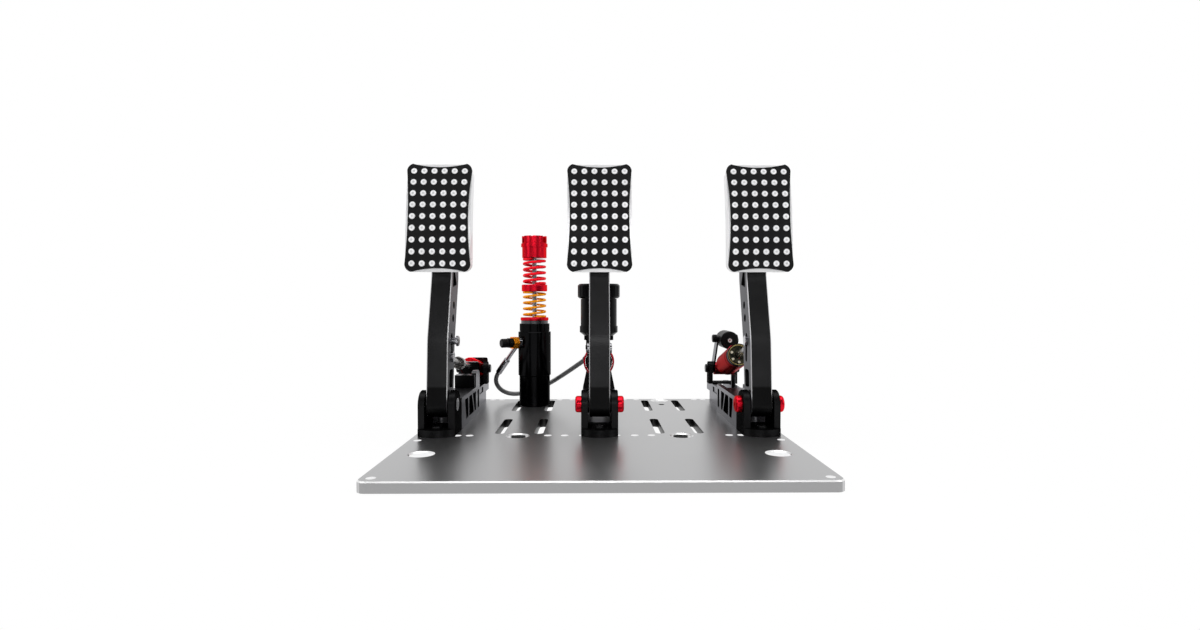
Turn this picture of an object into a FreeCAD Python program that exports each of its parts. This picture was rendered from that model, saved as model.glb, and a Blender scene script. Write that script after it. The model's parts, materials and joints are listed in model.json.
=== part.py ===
import FreeCAD, Part
import math
import os

# Sim racing pedal set: clutch, brake and throttle pedals that stand on one aluminium base plate.
# Millimetres. The origin is the centre of the base plate's underside, +Z is up, +Y points away from
# the driver and +X is the driver's right, so the clutch is at -X, the brake at 0 and the throttle at +X.

V = FreeCAD.Vector
os.makedirs("parts", exist_ok=True)

# Base plate
plate_width = 410.0
plate_depth = 435.0
plate_thick = 10.0
plate_corner = 9.0
plate_edge = 1.2
front = -plate_depth / 2

# Slots and holes of the plate, with their distance from its front edge
slot_half = 5.25
slot_length = 87.5
slot_columns = (68.4, 112.5)
slot_rows = (230.7, 376.5)
small_hole_r = 4.2
small_hole_columns = (18.8, 38.8, 57.3, 143.5, 156.7)
small_hole_rows = (178.0, 428.0)
side_hole_margin = 10.6
side_hole_rows = (11.1, 154.2)
large_hole_r = 11.5
large_hole_edge = 1.5
inner_large_x = 90.6
inner_large_rows = (176.5, 419.5)
outer_large_margin = 30.9
outer_large_row = 94.0

# Pedals
pedal_margin = 25.7
pivot_y = -27.5
pivot_z = 42.7
pin_r = 5.0
running = 0.05
seating = 0.02
pin_head_r = 7.1
pin_head_thick = 2.0

# Clevis, the front foot of a pedal
foot_half = 20.4
ear_thick = 7.2
ear_round = 16.0
floor_top = 18.0
nose_reach = 9.2
bush_flange = 1.5
bush_wall = 2.0
bush_flange_r = 9.5
knob_r = 9.25
knob_thick = 6.8
knob_round = 2.6

# Channel frame
frame_start = -6.0
frame_step = 111.0
frame_end = 211.5
rail_top = 46.5
rail_thick = 6.0
frame_floor = 6.0
rear_half = 16.0
rear_low = 26.5
rear_top = 39.0
rear_low_half = 12.0
rear_gap_half = 8.0
deck_start = 12.0
deck_end = 76.0
deck_thick = 3.5
window_low = 17.5
window_high = 41.5
window_round = 1.6
pocket_depth = 1.2
stop_start = 79.0
stop_top = 62.5
lug_top = 67.0
stop_post_r = 2.7
stop_post_y = 104.0
stop_post_top = 60.0

# Rear yoke
yoke_y = 179.0
yoke_z = 60.5
post_thick = 5.6
post_half_depth = 8.5
yoke_start = 168.0
yoke_floor = 2.5
tail_y = 203.0
tail_thick = 5.0
tail_top = 73.8
tail_half = 15.4
trunnion_r = 4.0
trunnion_head_r = 6.0
trunnion_head = 4.2

# Arm
arm_half = 11.6
arm_edge = 0.9
fork_half = 6.6
fork_low = 85.0
fork_high = 128.0
fork_front = -27.0
strut_pin_r = 4.0
strut_pin_y = -15.5
strut_pin_head_r = 6.0
strut_pin_head = 2.5
strut_slot_low = 93.0
strut_slot_high = 118.0
eye_r = 8.6
eye_half = 5.9
eye_slack = 0.7
eye_overlap = 4.0
eye_neck = 22.0
side_hole_arm_r = 4.5

# Pad
pad_radius = 397.0
pad_base_z = 199.9
pad_front_y = -34.0
pad_width = 72.5
pad_low_arc = -9.6
pad_high_arc = 115.0
grip_thick = 2.5
pad_depth = 16.5
pad_wall = 3.0
pad_floor = 4.0
pad_corner = 9.0
side_hollow = 3.2
end_hollow = 3.3
stud_r = 3.35
stud_proud = 0.7
stud_pitch_x = 11.32
stud_pitch_arc = 13.17
stud_columns = 6
stud_rows = 9
dimple_r = 1.0
dimple_depth = 0.5

# Height of the strut's pin in each arm
clutch_pin_z = 95.0
brake_pin_z = 104.5
throttle_pin_z = 113.0
tether_pin_z = 113.0
tether_reach = 8.0

# Clutch strut, measured from the yoke's pin towards the arm
clutch_barrel_r = 13.5
clutch_barrel_rear = -22.0
clutch_barrel_front = 30.0
barrel_cavity_r = 9.6
barrel_end = 4.0
strut_rod_r = 4.0
clutch_piston_at = 14.0
piston_thick = 4.0
collar_r = 8.0
collar_at = 96.0
collar_length = 14.0

# Throttle strut
throttle_barrel_r = 15.3
throttle_barrel_rear = 37.0
throttle_barrel_front = 104.0
throttle_piston_at = 92.0
throttle_tail_r = 7.0
terminal_ring_r = 14.6
terminal_ring_length = 7.0

# Throttle sensor, above the barrel
sensor_r = 12.3
sensor_y = 127.0
sensor_length = 38.0
sensor_z = 104.0
sensor_screw_r = 4.0
sensor_plate_thick = 2.3
sensor_plate_half = 7.0
sensor_knob_r = 5.5
sensor_knob = 5.5

# Brake master cylinder
master_slope = 0.287
master_r = 14.0
master_ring_r = 19.4
master_ring_at = 80.0
master_ring_thick = 8.0
master_ring_rim = 2.0
master_ring_dish = 5.0
master_end = 175.0
master_bore_r = 9.0
push_rod_r = 4.0
push_piston_at = 107.0
push_piston = 10.0
mount_start = 76.0
mount_thick = 10.0
mount_top = 96.0
mount_half = 16.0
clamp_y = 138.0
clamp_thick = 12.0

# Fluid reservoir over the master cylinder
reservoir_y = 82.0
reservoir_low = 113.5
reservoir_r = 23.3
reservoir_collar_r = 24.5
reservoir_collar_top = 126.0
reservoir_top = 161.0
reservoir_cap_r = 27.1
reservoir_cap_top = 180.0
reservoir_wall = 2.5
cup_low = 108.0
feed_x = -13.5
feed_y = 91.2
feed_r = 3.0
feed_bore_r = 1.5
inlet_r = 5.0
inlet_rise = 3.0
nipple_r = 3.2
nipple_length = 12.0
cap_gap = 0.4
cap_screwed = 3.0
cap_flutes = 24
cap_flute_r = 1.6

# Upright slave cylinder
slave_x = -90.4
slave_row = 383.4
slave_foot_r = 21.5
slave_foot_top = 52.9
slave_tube_r = 20.6
sleeve_r = 22.9
sleeve_top = 114.4
gland_r = 21.1
gland_low = 115.4
gland_top = 125.8
piston_r = 19.1
piston_low = 104.0
piston_top = 130.2
chamber_low = 60.0
seat_r = 19.7
seat_top = 134.5
spacer_r = 18.0
spacer_low = 171.3
spacer_top = 180.9
guide_r = 3.25
guide_collar_r = 9.8
guide_collar_z = 211.5
guide_collar_thick = 3.5
cap_low = 218.7
cap_body_r = 17.2
cap_flange_low = 234.0
cap_flange_top = 238.6
cap_flange_r = 18.7
cap_crown_r = 17.5
cap_top = 249.0
cap_dome = 1.5
cap_notches = 6
cap_notch_half = 3.3
cap_notch_root = 11.5
cap_neck = 1.2
lower_wire_r = 1.45
lower_coil_r = 15.15
upper_wire_r = 1.9
upper_coil_r = 14.6
slave_turns = 5

# Port of the slave cylinder, its banjo and the bleed cap
port_z = 99.6
port_turn = 34.0
banjo_r = 8.0
banjo_thick = 4.5
banjo_clear = 1.4
adapter_flats = 16.0
adapter_length = 8.5
bleed_flats = 13.0
bleed_hex_length = 5.5
bleed_waist_r = 4.6
bleed_waist_length = 2.0
bleed_tip_r = 6.2
bleed_tip_length = 9.0
stem_r = 3.0
ferrule_r = 4.6
ferrule_length = 29.0

# Brake hose: centre line by hand, from the slave's ferrule to the master's ferrule
hose_r = 3.2
hose_route = [
    (-144.5, 187.0, 54.0),
    (-149.6, 192.4, 47.3),
    (-149.9, 196.8, 35.4),
    (-142.4, 200.8, 25.0),
    (-128.8, 203.8, 19.4),
    (-110.0, 205.7, 20.6),
    (-91.4, 204.7, 27.6),
    (-73.8, 195.5, 37.4),
    (-57.2, 169.0, 51.8),
    (-33.6, 140.9, 62.3),
    (-17.9, 116.6, 79.1),
]
master_ferrule_length = 14.0
master_port_r = 5.0
master_port_over = 6.0
master_port_x = -6.0
master_port_y = 99.8
master_port_z = 92.0

# Screws that hold the pedals to the plate, and the bolt of the slave cylinder
screw_r = 4.0
screw_head_r = 5.2
screw_head = 3.0
nose_screw_y = -41.0
channel_screw_rows = (92.0, 150.0)
slave_head_r = 6.5
slave_head = 5.0
slave_bolt_top = 24.0

pedal_spacing = plate_width / 2 - pedal_margin
side_hole_x = plate_width / 2 - side_hole_margin
outer_large_x = plate_width / 2 - outer_large_margin
slave_y = front + slave_row
pedal_x = {"clutch": -pedal_spacing, "brake": 0.0, "throttle": pedal_spacing}
nodes = {}


def box(x0, x1, y0, y1, z0, z1):
    return Part.makeBox(x1 - x0, y1 - y0, z1 - z0, V(x0, y0, z0))


def rod_x(radius, x0, x1, y, z):
    return Part.makeCylinder(radius, x1 - x0, V(x0, y, z), V(1, 0, 0))


def rod_z(radius, x, y, z0, z1):
    return Part.makeCylinder(radius, z1 - z0, V(x, y, z0), V(0, 0, 1))


def cone_z(r0, r1, x, y, z0, z1):
    return Part.makeCone(r0, r1, z1 - z0, V(x, y, z0), V(0, 0, 1))


def fuse(first, *others):
    """One solid of several that touch, with the seams between coplanar faces taken out."""
    return first.fuse(list(others)).removeSplitter()


def rounded_wire(corners, place):
    """Closed wire through corners (u, v, radius), each rounded by an arc tangent to both its sides."""
    count = len(corners)
    spans = []
    for i, (u, v, radius) in enumerate(corners):
        here = V(u, v, 0)
        to_last = (V(*corners[i - 1][:2], 0) - here).normalize()
        to_next = (V(*corners[(i + 1) % count][:2], 0) - here).normalize()
        if radius == 0:
            spans.append((here, here, here))
            continue
        half = to_last.getAngle(to_next) / 2
        reach = radius / math.tan(half)
        inward = (to_last + to_next).normalize()
        middle = here + inward * (radius / math.sin(half) - radius)
        spans.append((here + to_last * reach, middle, here + to_next * reach))
    edges = []
    for i, (start, middle, end) in enumerate(spans):
        if (end - start).Length > 1e-6:
            edges.append(Part.Arc(place(start), place(middle), place(end)).toShape())
        following = spans[(i + 1) % count][0]
        edges.append(Part.LineSegment(place(end), place(following)).toShape())
    return Part.Wire(edges)


def side_prism(corners, x0, x1):
    """Outline in the Y-Z plane, extruded from x0 to x1."""
    wire = rounded_wire(corners, lambda p: V(x0, p.x, p.y))
    return Part.Face(wire).extrude(V(x1 - x0, 0, 0))


def front_prism(corners, y0, y1):
    """Outline in the X-Z plane, extruded from y0 to y1."""
    wire = rounded_wire(corners, lambda p: V(p.x, y0, p.y))
    return Part.Face(wire).extrude(V(0, y1 - y0, 0))


def plan_prism(corners, z0, z1):
    """Outline in the X-Y plane, extruded from z0 to z1."""
    wire = rounded_wire(corners, lambda p: V(p.x, p.y, z0))
    return Part.Face(wire).extrude(V(0, 0, z1 - z0))


def edges_where(shape, test):
    return [edge for edge in shape.Edges if test(edge)]


def circle_at(centre, axis, radius):
    return Part.Wire(Part.makeCircle(radius, centre, axis))


def hexagon(flats, start, axis, length):
    """Hexagonal bar with the given distance across flats."""
    axis = V(*axis).normalize()
    across = axis.cross(V(0, 0, 1))
    if across.Length < 0.01:
        across = V(1, 0, 0)
    across.normalize()
    up = across.cross(axis)
    reach = flats / math.sqrt(3)
    points = []
    for i in range(7):
        angle = math.radians(60 * i)
        points.append(start + across * (reach * math.cos(angle)) + up * (reach * math.sin(angle)))
    return Part.Face(Part.makePolygon(points)).extrude(axis * length)


def coil(origin, axis, mean_r, wire_r, low, high, turns):
    """Round wire wound about axis: half turns in tilted planes, so that every joint is tangent.

    The first and the last half turn are closed, and the turns between share the height left over.
    """
    axis = V(*axis).normalize()
    side = axis.cross(V(0, 1, 0))
    if side.Length < 0.01:
        side = V(1, 0, 0)
    side.normalize()
    closed = wire_r * 2.04
    active = (high - low - 2 * wire_r - closed) / (turns - 1)
    rises = [closed / 2] + [active / 2] * (2 * (turns - 1)) + [closed / 2]
    height = low + wire_r
    pieces = []
    for i, rise in enumerate(rises):
        sign = 1 if i % 2 == 0 else -1
        start = origin + axis * height + side * (sign * mean_r)
        end = origin + axis * (height + rise) - side * (sign * mean_r)
        centre = (start + end) * 0.5
        along = (start - centre).normalize()
        turn_axis = along.cross(axis.cross(side) * sign).normalize()
        tangent = turn_axis.cross(along)
        ring = Part.Face(circle_at(start, tangent, wire_r))
        pieces.append(ring.revolve(centre, turn_axis, 180))
        height += rise
    return pieces[0].fuse(pieces[1:]).removeSplitter()


def tube_path(points):
    """Straight runs joined by tangent arcs, each as large as its two runs allow, and the arcs' radii."""
    points = [V(*p) for p in points]
    edges = []
    radii = []
    here = points[0]
    for last, corner, following in zip(points, points[1:], points[2:]):
        back = last - corner
        ahead = following - corner
        shorter = min(back.Length, ahead.Length)
        back.normalize()
        ahead.normalize()
        half = back.getAngle(ahead) / 2
        reach = 0.45 * shorter
        radius = reach * math.tan(half)
        radii.append(radius)
        start = corner + back * reach
        end = corner + ahead * reach
        inward = (back + ahead).normalize()
        middle = corner + inward * (radius / math.sin(half) - radius)
        edges.append(Part.LineSegment(here, start).toShape())
        edges.append(Part.Arc(start, middle, end).toShape())
        here = end
    edges.append(Part.LineSegment(here, points[-1]).toShape())
    return Part.Wire(edges), radii


class Strut:
    """The line from a rear point towards a pin in the arm, on which a strut's round pieces sit."""

    def __init__(self, x, rear, pin):
        self.rear = V(x, *rear)
        self.pin = V(x, *pin)
        self.length = (self.pin - self.rear).Length
        self.axis = (self.pin - self.rear).normalize()

    def at(self, distance):
        return self.rear + self.axis * distance

    def rod(self, radius, start, end):
        return Part.makeCylinder(radius, end - start, self.at(start), self.axis)

    def cone(self, r0, r1, start, end):
        return Part.makeCone(r0, r1, end - start, self.at(start), self.axis)


def plate_row(distance):
    """Y of a row at this distance from the plate's front edge."""
    return front + distance


def base_plate():
    half_x = plate_width / 2
    half_y = plate_depth / 2
    corners = [(-half_x, -half_y), (half_x, -half_y), (half_x, half_y), (-half_x, half_y)]
    plate = plan_prism([(x, y, plate_corner) for x, y in corners], 0, plate_thick)
    rim = edges_where(plate, lambda e: abs(e.CenterOfMass.z - plate_thick) < 0.01)
    plate = plate.makeChamfer(plate_edge, rim)
    cuts = []
    for column in slot_columns:
        for row in slot_rows:
            y = plate_row(row)
            reach = slot_length / 2
            for x in (-column, column):
                ends = [(x - slot_half, y - reach), (x + slot_half, y - reach),
                        (x + slot_half, y + reach), (x - slot_half, y + reach)]
                cuts.append(plan_prism([(u, v, slot_half - 0.01) for u, v in ends], -1, plate_thick + 1))
    small = [(column, row) for column in small_hole_columns for row in small_hole_rows]
    small += [(side_hole_x, row) for row in side_hole_rows]
    small += [(-slave_x, slave_row)]
    for column, row in small:
        for x in (-column, column):
            cuts.append(rod_z(small_hole_r, x, plate_row(row), -1, plate_thick + 1))
    large = [(inner_large_x, row) for row in inner_large_rows] + [(outer_large_x, outer_large_row)]
    for column, row in large:
        for x in (-column, column):
            y = plate_row(row)
            cuts.append(rod_z(large_hole_r, x, y, -1, plate_thick + 1))
            wide = large_hole_r + large_hole_edge
            cuts.append(cone_z(large_hole_r, wide, x, y, plate_thick - large_hole_edge, plate_thick))
    for x in pedal_x.values():
        for y in (nose_screw_y,) + channel_screw_rows:
            cuts.append(rod_z(screw_r + running, x, y, -1, plate_thick + 1))
    cuts.append(rod_z(slave_head_r + 0.5, slave_x, slave_y, -1, slave_head))
    return plate.cut(cuts)


def clevis(x):
    ear_front = pivot_y - ear_round
    ear_back = pivot_y + ear_round
    ear_top = pivot_z + ear_round
    outline = [
        (ear_front, plate_thick, 0),
        (ear_front, ear_top, ear_round - 0.05),
        (ear_back, ear_top, ear_round - 0.05),
        (ear_back, plate_thick, 0),
    ]
    ears = side_prism(outline, x - foot_half, x + foot_half)
    body = fuse(ears, box(x - foot_half, x + foot_half, pivot_y, frame_start, plate_thick, rail_top))
    rim = edges_where(body, lambda e: abs(abs(e.CenterOfMass.x - x) - foot_half) < 0.01
                      and e.CenterOfMass.z > plate_thick + 1 and e.CenterOfMass.y < frame_start - 0.1)
    body = body.makeChamfer(1.0, rim)
    inner = foot_half - ear_thick
    body = body.cut(box(x - inner, x + inner, ear_front - 1, frame_start + 1, floor_top, ear_top + 1))
    nose = Part.Wire([
        Part.LineSegment(V(x - foot_half, ear_front + 1, plate_thick),
                         V(x - foot_half, ear_front, plate_thick)).toShape(),
        Part.Arc(V(x - foot_half, ear_front, plate_thick), V(x, ear_front - nose_reach, plate_thick),
                 V(x + foot_half, ear_front, plate_thick)).toShape(),
        Part.LineSegment(V(x + foot_half, ear_front, plate_thick),
                         V(x + foot_half, ear_front + 1, plate_thick)).toShape(),
        Part.LineSegment(V(x + foot_half, ear_front + 1, plate_thick),
                         V(x - foot_half, ear_front + 1, plate_thick)).toShape(),
    ])
    body = fuse(body, Part.Face(nose).extrude(V(0, 0, floor_top - plate_thick)))
    bore = rod_x(pin_r + bush_wall, x - foot_half - 1, x + foot_half + 1, pivot_y, pivot_z)
    recess_r = pin_head_r + 0.1
    left = rod_x(recess_r, x - foot_half - 1, x - foot_half + pin_head_thick, pivot_y, pivot_z)
    right = rod_x(recess_r, x + foot_half - pin_head_thick, x + foot_half + 1, pivot_y, pivot_z)
    screw = rod_z(screw_r + running, x, nose_screw_y, plate_thick - 1, floor_top + 1)
    return body.cut([bore, left, right, screw])


def frame(x):
    channel_low = plate_thick + frame_floor
    gap = foot_half - rail_thick
    body = box(x - foot_half, x + foot_half, frame_start, frame_step, plate_thick, rail_top)
    below_deck = rail_top - deck_thick
    body = body.cut([
        box(x - gap, x + gap, frame_start - 1, frame_step + 1, channel_low, below_deck),
        box(x - gap, x + gap, frame_start - 1, deck_start, below_deck - 1, rail_top + 1),
        box(x - gap, x + gap, deck_end, frame_step + 1, below_deck - 1, rail_top + 1),
    ])
    low = window_low
    high = window_high
    windows = [
        [(13.5, high), (33.0, high), (33.0, low), (20.0, low)],
        [(38.5, high), (57.0, high), (69.5, low), (38.5, low)],
        [(61.5, high), (83.5, high), (83.5, low), (74.0, low)],
        [(95.0, high), (106.0, high), (106.0, low), (95.0, low)],
    ]
    for window in windows:
        rounded = [(y, z, window_round) for y, z in window]
        body = body.cut(side_prism(rounded, x - foot_half - 1, x + foot_half + 1))
    rear = fuse(
        box(x - rear_half, x + rear_half, frame_step, frame_end, rear_low, rear_top),
        box(x - rear_low_half, x + rear_low_half, frame_step, frame_end, plate_thick, rear_low),
    )
    rear = rear.cut(box(x - rear_gap_half, x + rear_gap_half, frame_step - 1, frame_end + 1,
                        channel_low, rear_top + 1))
    pocket_low = rear_low + 2.5
    pocket_high = rear_top - 2.5
    for side in (-1, 1):
        outer = x + side * (rear_half + 1)
        inner = x + side * (rear_half - pocket_depth)
        ends = sorted((outer, inner))
        pocket = [(frame_step + 6, pocket_low), (frame_step + 6, pocket_high),
                  (yoke_start - 4, pocket_high), (yoke_start - 4, pocket_low)]
        rear = rear.cut(side_prism([(y, z, window_round) for y, z in pocket], *ends))
    body = fuse(body, rear)
    holes = [rod_z(screw_r + running, x, y, plate_thick - 1, channel_low + 1) for y in channel_screw_rows]
    return body.cut(holes)


def stop_block(x):
    """Block with a side lug that the clutch frame carries on its deck, under the strut's collar."""
    block = box(x - 6, x + foot_half - 1, stop_start, stop_start + 16, rail_top - deck_thick - 4, stop_top)
    lug_low = rail_top - 2
    lug = side_prism([(84.0, lug_low, 0), (84.0, lug_top, 8), (112.0, lug_top, 10), (110.0, lug_low, 0)],
                     x + foot_half - rail_thick, x + foot_half)
    return block, lug


def stop_post(x):
    """Round post on the floor of the throttle's channel, under its barrel."""
    return rod_z(stop_post_r, x, stop_post_y, plate_thick + frame_floor - 1, stop_post_top)


def rear_yoke(x, tail):
    """Two round-topped posts on a cross floor, with an end plate behind them where there is a tail."""
    post_in = foot_half - post_thick
    post_top = yoke_z + post_half_depth + 1.5
    y0 = yoke_y - post_half_depth
    y1 = yoke_y + post_half_depth
    outline = [(y0, rear_top, 0), (y0, post_top, post_half_depth - 0.1),
               (y1, post_top, post_half_depth - 0.1), (y1, rear_top, 0)]
    posts = [side_prism(outline, x - foot_half, x - post_in), side_prism(outline, x + post_in, x + foot_half)]
    floor = box(x - foot_half, x + foot_half, y0, y1, rear_top, rear_top + yoke_floor)
    tie_end = tail_y + tail_thick if tail else y1
    tie = box(x - tail_half, x + tail_half, yoke_start, tie_end, rear_top, rear_top + yoke_floor)
    plate = front_prism([(x - tail_half, rear_top, 0), (x - tail_half, tail_top, 3),
                         (x + tail_half, tail_top, 3), (x + tail_half, rear_top, 0)],
                        tail_y, tail_y + tail_thick)
    body = fuse(floor, tie, *posts)
    if tail:
        body = fuse(body, plate)
    bore = rod_x(trunnion_r + running, x - foot_half - 1, x + foot_half + 1, yoke_y, yoke_z)
    return body.cut(bore)


def pivot_pin(x):
    half = foot_half
    shaft = rod_x(pin_r, x - half, x + half, pivot_y, pivot_z)
    left = rod_x(pin_head_r, x - half, x - half + pin_head_thick, pivot_y, pivot_z)
    right = rod_x(pin_head_r, x + half - pin_head_thick, x + half, pivot_y, pivot_z)
    return fuse(shaft, left, right)


def pivot_knob(x, side):
    inner = x + side * foot_half
    low = min(inner, inner + side * knob_thick)
    knob = rod_x(knob_r, low, low + knob_thick, pivot_y, pivot_z)
    outer = inner + side * knob_thick
    rim = edges_where(knob, lambda e: abs(e.CenterOfMass.x - outer) < 0.01)
    knob = knob.makeFillet(knob_round, rim)
    socket = hexagon(4.0, V(outer - side * 2.0, pivot_y, pivot_z), (side, 0, 0), 3.0)
    return knob.cut(socket)


def ear_bushes(x):
    bushes = []
    inner = foot_half - ear_thick
    outer = foot_half - pin_head_thick
    for side in (-1, 1):
        ends = sorted((x + side * inner, x + side * outer))
        flange = sorted((x + side * (inner - bush_flange), x + side * inner))
        sleeve = rod_x(pin_r + bush_wall, *ends, pivot_y, pivot_z)
        collar = rod_x(bush_flange_r, *flange, pivot_y, pivot_z)
        bore = rod_x(pin_r + seating, flange[0] - 9, ends[1] + 9, pivot_y, pivot_z)
        bushes.append(fuse(sleeve, collar).cut(bore))
    return bushes


def arm(x):
    front_low = (-42.6, 28.7)
    outline = [
        (*front_low, 13.0),
        (-35.5, 115.0, 60.0),
        (-14.0, 187.5, 14.0),
        (-6.5, 252.0, 3.0),
        (12.0, 252.0, 8.0),
        (24.0, 188.0, 40.0),
        (0.0, 110.0, 60.0),
        (-7.0, 56.0, 12.0),
        (-12.6, 28.7, 13.0),
    ]
    body = side_prism(outline, x - arm_half, x + arm_half)
    rim = edges_where(body, lambda e: abs(abs(e.CenterOfMass.x - x) - arm_half) < 0.01)
    body = body.makeChamfer(arm_edge, rim)
    windows = [
        [(-30.4, 62.0, 3), (-12.8, 60.5, 3), (-9.8, 81.0, 4), (-28.6, 81.0, 4)],
        [(-8.6, 174.0, 2), (-3.6, 204.0, 1.5), (12.5, 177.5, 2)],
        [(2.4, 209.0, 2), (0.4, 240.0, 3), (8.5, 240.0, 3), (17.5, 186.0, 2.5)],
    ]
    cuts = [side_prism(window, x - arm_half - 1, x + arm_half + 1) for window in windows]
    for y, z in ((-8.0, 138.7), (-3.6, 153.6)):
        cuts.append(rod_x(side_hole_arm_r, x - arm_half - 1, x + arm_half + 1, y, z))
    fork = [(fork_front, fork_low, 3), (fork_front, fork_high, 3), (30.0, fork_high, 0), (30.0, fork_low, 0)]
    cuts.append(side_prism(fork, x - fork_half, x + fork_half))
    slot_r = strut_pin_r + seating
    slot = [(strut_pin_y - slot_r, strut_slot_low - slot_r), (strut_pin_y - slot_r, strut_slot_high + slot_r),
            (strut_pin_y + slot_r, strut_slot_high + slot_r), (strut_pin_y + slot_r, strut_slot_low - slot_r)]
    cuts.append(side_prism([(y, z, slot_r - 0.01) for y, z in slot], x - arm_half - 1, x + arm_half + 1))
    cuts.append(rod_x(pin_r + running, x - arm_half - 1, x + arm_half + 1, pivot_y, pivot_z))
    return body.cut(cuts)


def strut_pin(x, z):
    shaft = rod_x(strut_pin_r, x - arm_half, x + arm_half, strut_pin_y, z)
    heads = []
    for side in (-1, 1):
        ends = sorted((x + side * arm_half, x + side * (arm_half + strut_pin_head)))
        head = rod_x(strut_pin_head_r, *ends, strut_pin_y, z)
        outer = x + side * (arm_half + strut_pin_head)
        rim = edges_where(head, lambda e: abs(e.CenterOfMass.x - outer) < 0.01)
        heads.append(head.makeChamfer(0.6, rim))
    return fuse(shaft, *heads)


def tether_pin(x, side):
    """Headed stub on the inner cheek of the clutch arm."""
    inner = x + side * (fork_half + 0.3)
    neck = x + side * (arm_half + tether_reach - 2.5)
    outer = x + side * (arm_half + tether_reach)
    shaft = rod_x(strut_pin_r, *sorted((inner, neck)), strut_pin_y, tether_pin_z)
    head = rod_x(strut_pin_head_r, *sorted((neck, outer)), strut_pin_y, tether_pin_z)
    rim = edges_where(head, lambda e: abs(e.CenterOfMass.x - outer) < 0.01)
    return fuse(shaft, head.makeChamfer(0.6, rim))


pad_axis_y = pad_front_y + pad_radius
pad_axis = V(0, pad_axis_y, pad_base_z)


def pad_point(x, arc, depth):
    """Point of the pad at this width, this arc length up from the lowest studs, this far under its face."""
    angle = arc / pad_radius
    reach = pad_radius - depth
    return V(x, pad_axis_y - reach * math.cos(angle), pad_base_z + reach * math.sin(angle))


def pad_slab(x, half_width, low_arc, high_arc, near, far):
    """Part of a cylinder wall about the pad's long axis of curvature: near and far are depths."""
    corners = [pad_point(x - half_width, low_arc, near), pad_point(x + half_width, low_arc, near),
               pad_point(x + half_width, low_arc, far), pad_point(x - half_width, low_arc, far)]
    face = Part.Face(Part.makePolygon(corners + corners[:1]))
    sweep = math.degrees((high_arc - low_arc) / pad_radius)
    return face.revolve(pad_axis, V(-1, 0, 0), sweep)


def pad_corner_edges(slab, x, half_width, low_arc, high_arc):
    """The four short edges of a slab that run from its face to its back."""
    ends = [pad_point(x + side * half_width, arc, 0) for side in (-1, 1) for arc in (low_arc, high_arc)]

    def short(edge):
        if edge.Length > 30:
            return False
        middle = edge.CenterOfMass
        return any((middle - end).Length < pad_depth and abs(middle.x - end.x) < 0.01 for end in ends)

    return edges_where(slab, short)


def hollow_cutter(x, arc, width, sag, across):
    """Round bar along the pad's depth that takes a shallow hollow of this width and sag from an edge."""
    radius = width * width / (8 * sag) + sag / 2
    middle_arc = (pad_low_arc + pad_high_arc) / 2
    inward = (pad_point(x, middle_arc, 10) - pad_point(x, middle_arc, 0)).normalize()
    centre = pad_point(x, arc, 0)
    if across:
        offset = V(math.copysign(1, across) * (pad_width / 2 - sag + radius), 0, 0)
    else:
        up = (pad_point(x, arc + 1, 0) - pad_point(x, arc - 1, 0)).normalize()
        offset = up * ((radius - sag) * (1 if arc > middle_arc else -1))
    return Part.makeCylinder(radius, 60, centre + offset - inward * 25, inward)


def pad_grip(x):
    half = pad_width / 2
    slab = pad_slab(x, half, pad_low_arc, pad_high_arc, 0, grip_thick)
    slab = slab.makeFillet(pad_corner, pad_corner_edges(slab, x, half, pad_low_arc, pad_high_arc))
    middle_arc = (pad_low_arc + pad_high_arc) / 2
    side_length = pad_high_arc - pad_low_arc - 2 * pad_corner
    end_width = pad_width - 2 * pad_corner
    cuts = [
        hollow_cutter(x, middle_arc, side_length, side_hollow, 1),
        hollow_cutter(x, middle_arc, side_length, side_hollow, -1),
        hollow_cutter(x, pad_low_arc, end_width, end_hollow, 0),
        hollow_cutter(x, pad_high_arc, end_width, end_hollow, 0),
    ]
    holes = [stud_bar(x, column, row, stud_r + seating, -2, grip_thick + 1)
             for column in range(stud_columns) for row in range(stud_rows)]
    return slab.cut(cuts).cut(holes)


def stud_bar(x, column, row, radius, start, end):
    """Bar square to the pad's face at one stud's place, from depth start to depth end."""
    across = x + (column - (stud_columns - 1) / 2) * stud_pitch_x
    arc = row * stud_pitch_arc
    near = pad_point(across, arc, start)
    far = pad_point(across, arc, end)
    return Part.makeCylinder(radius, (far - near).Length, near, far - near)


def pad_studs(x):
    studs = []
    for column in range(stud_columns):
        for row in range(stud_rows):
            stud = stud_bar(x, column, row, stud_r, -stud_proud, grip_thick)
            top = pad_point(x, row * stud_pitch_arc, -stud_proud)
            rim = min((e for e in stud.Edges if e.Closed),
                      key=lambda e: (e.CenterOfMass - V(e.CenterOfMass.x, top.y, top.z)).Length)
            stud = stud.makeChamfer(0.35, [rim])
            dimple = stud_bar(x, column, row, dimple_r, -stud_proud - 1, dimple_depth - stud_proud)
            studs.append(stud.cut(dimple))
    return studs


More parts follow.
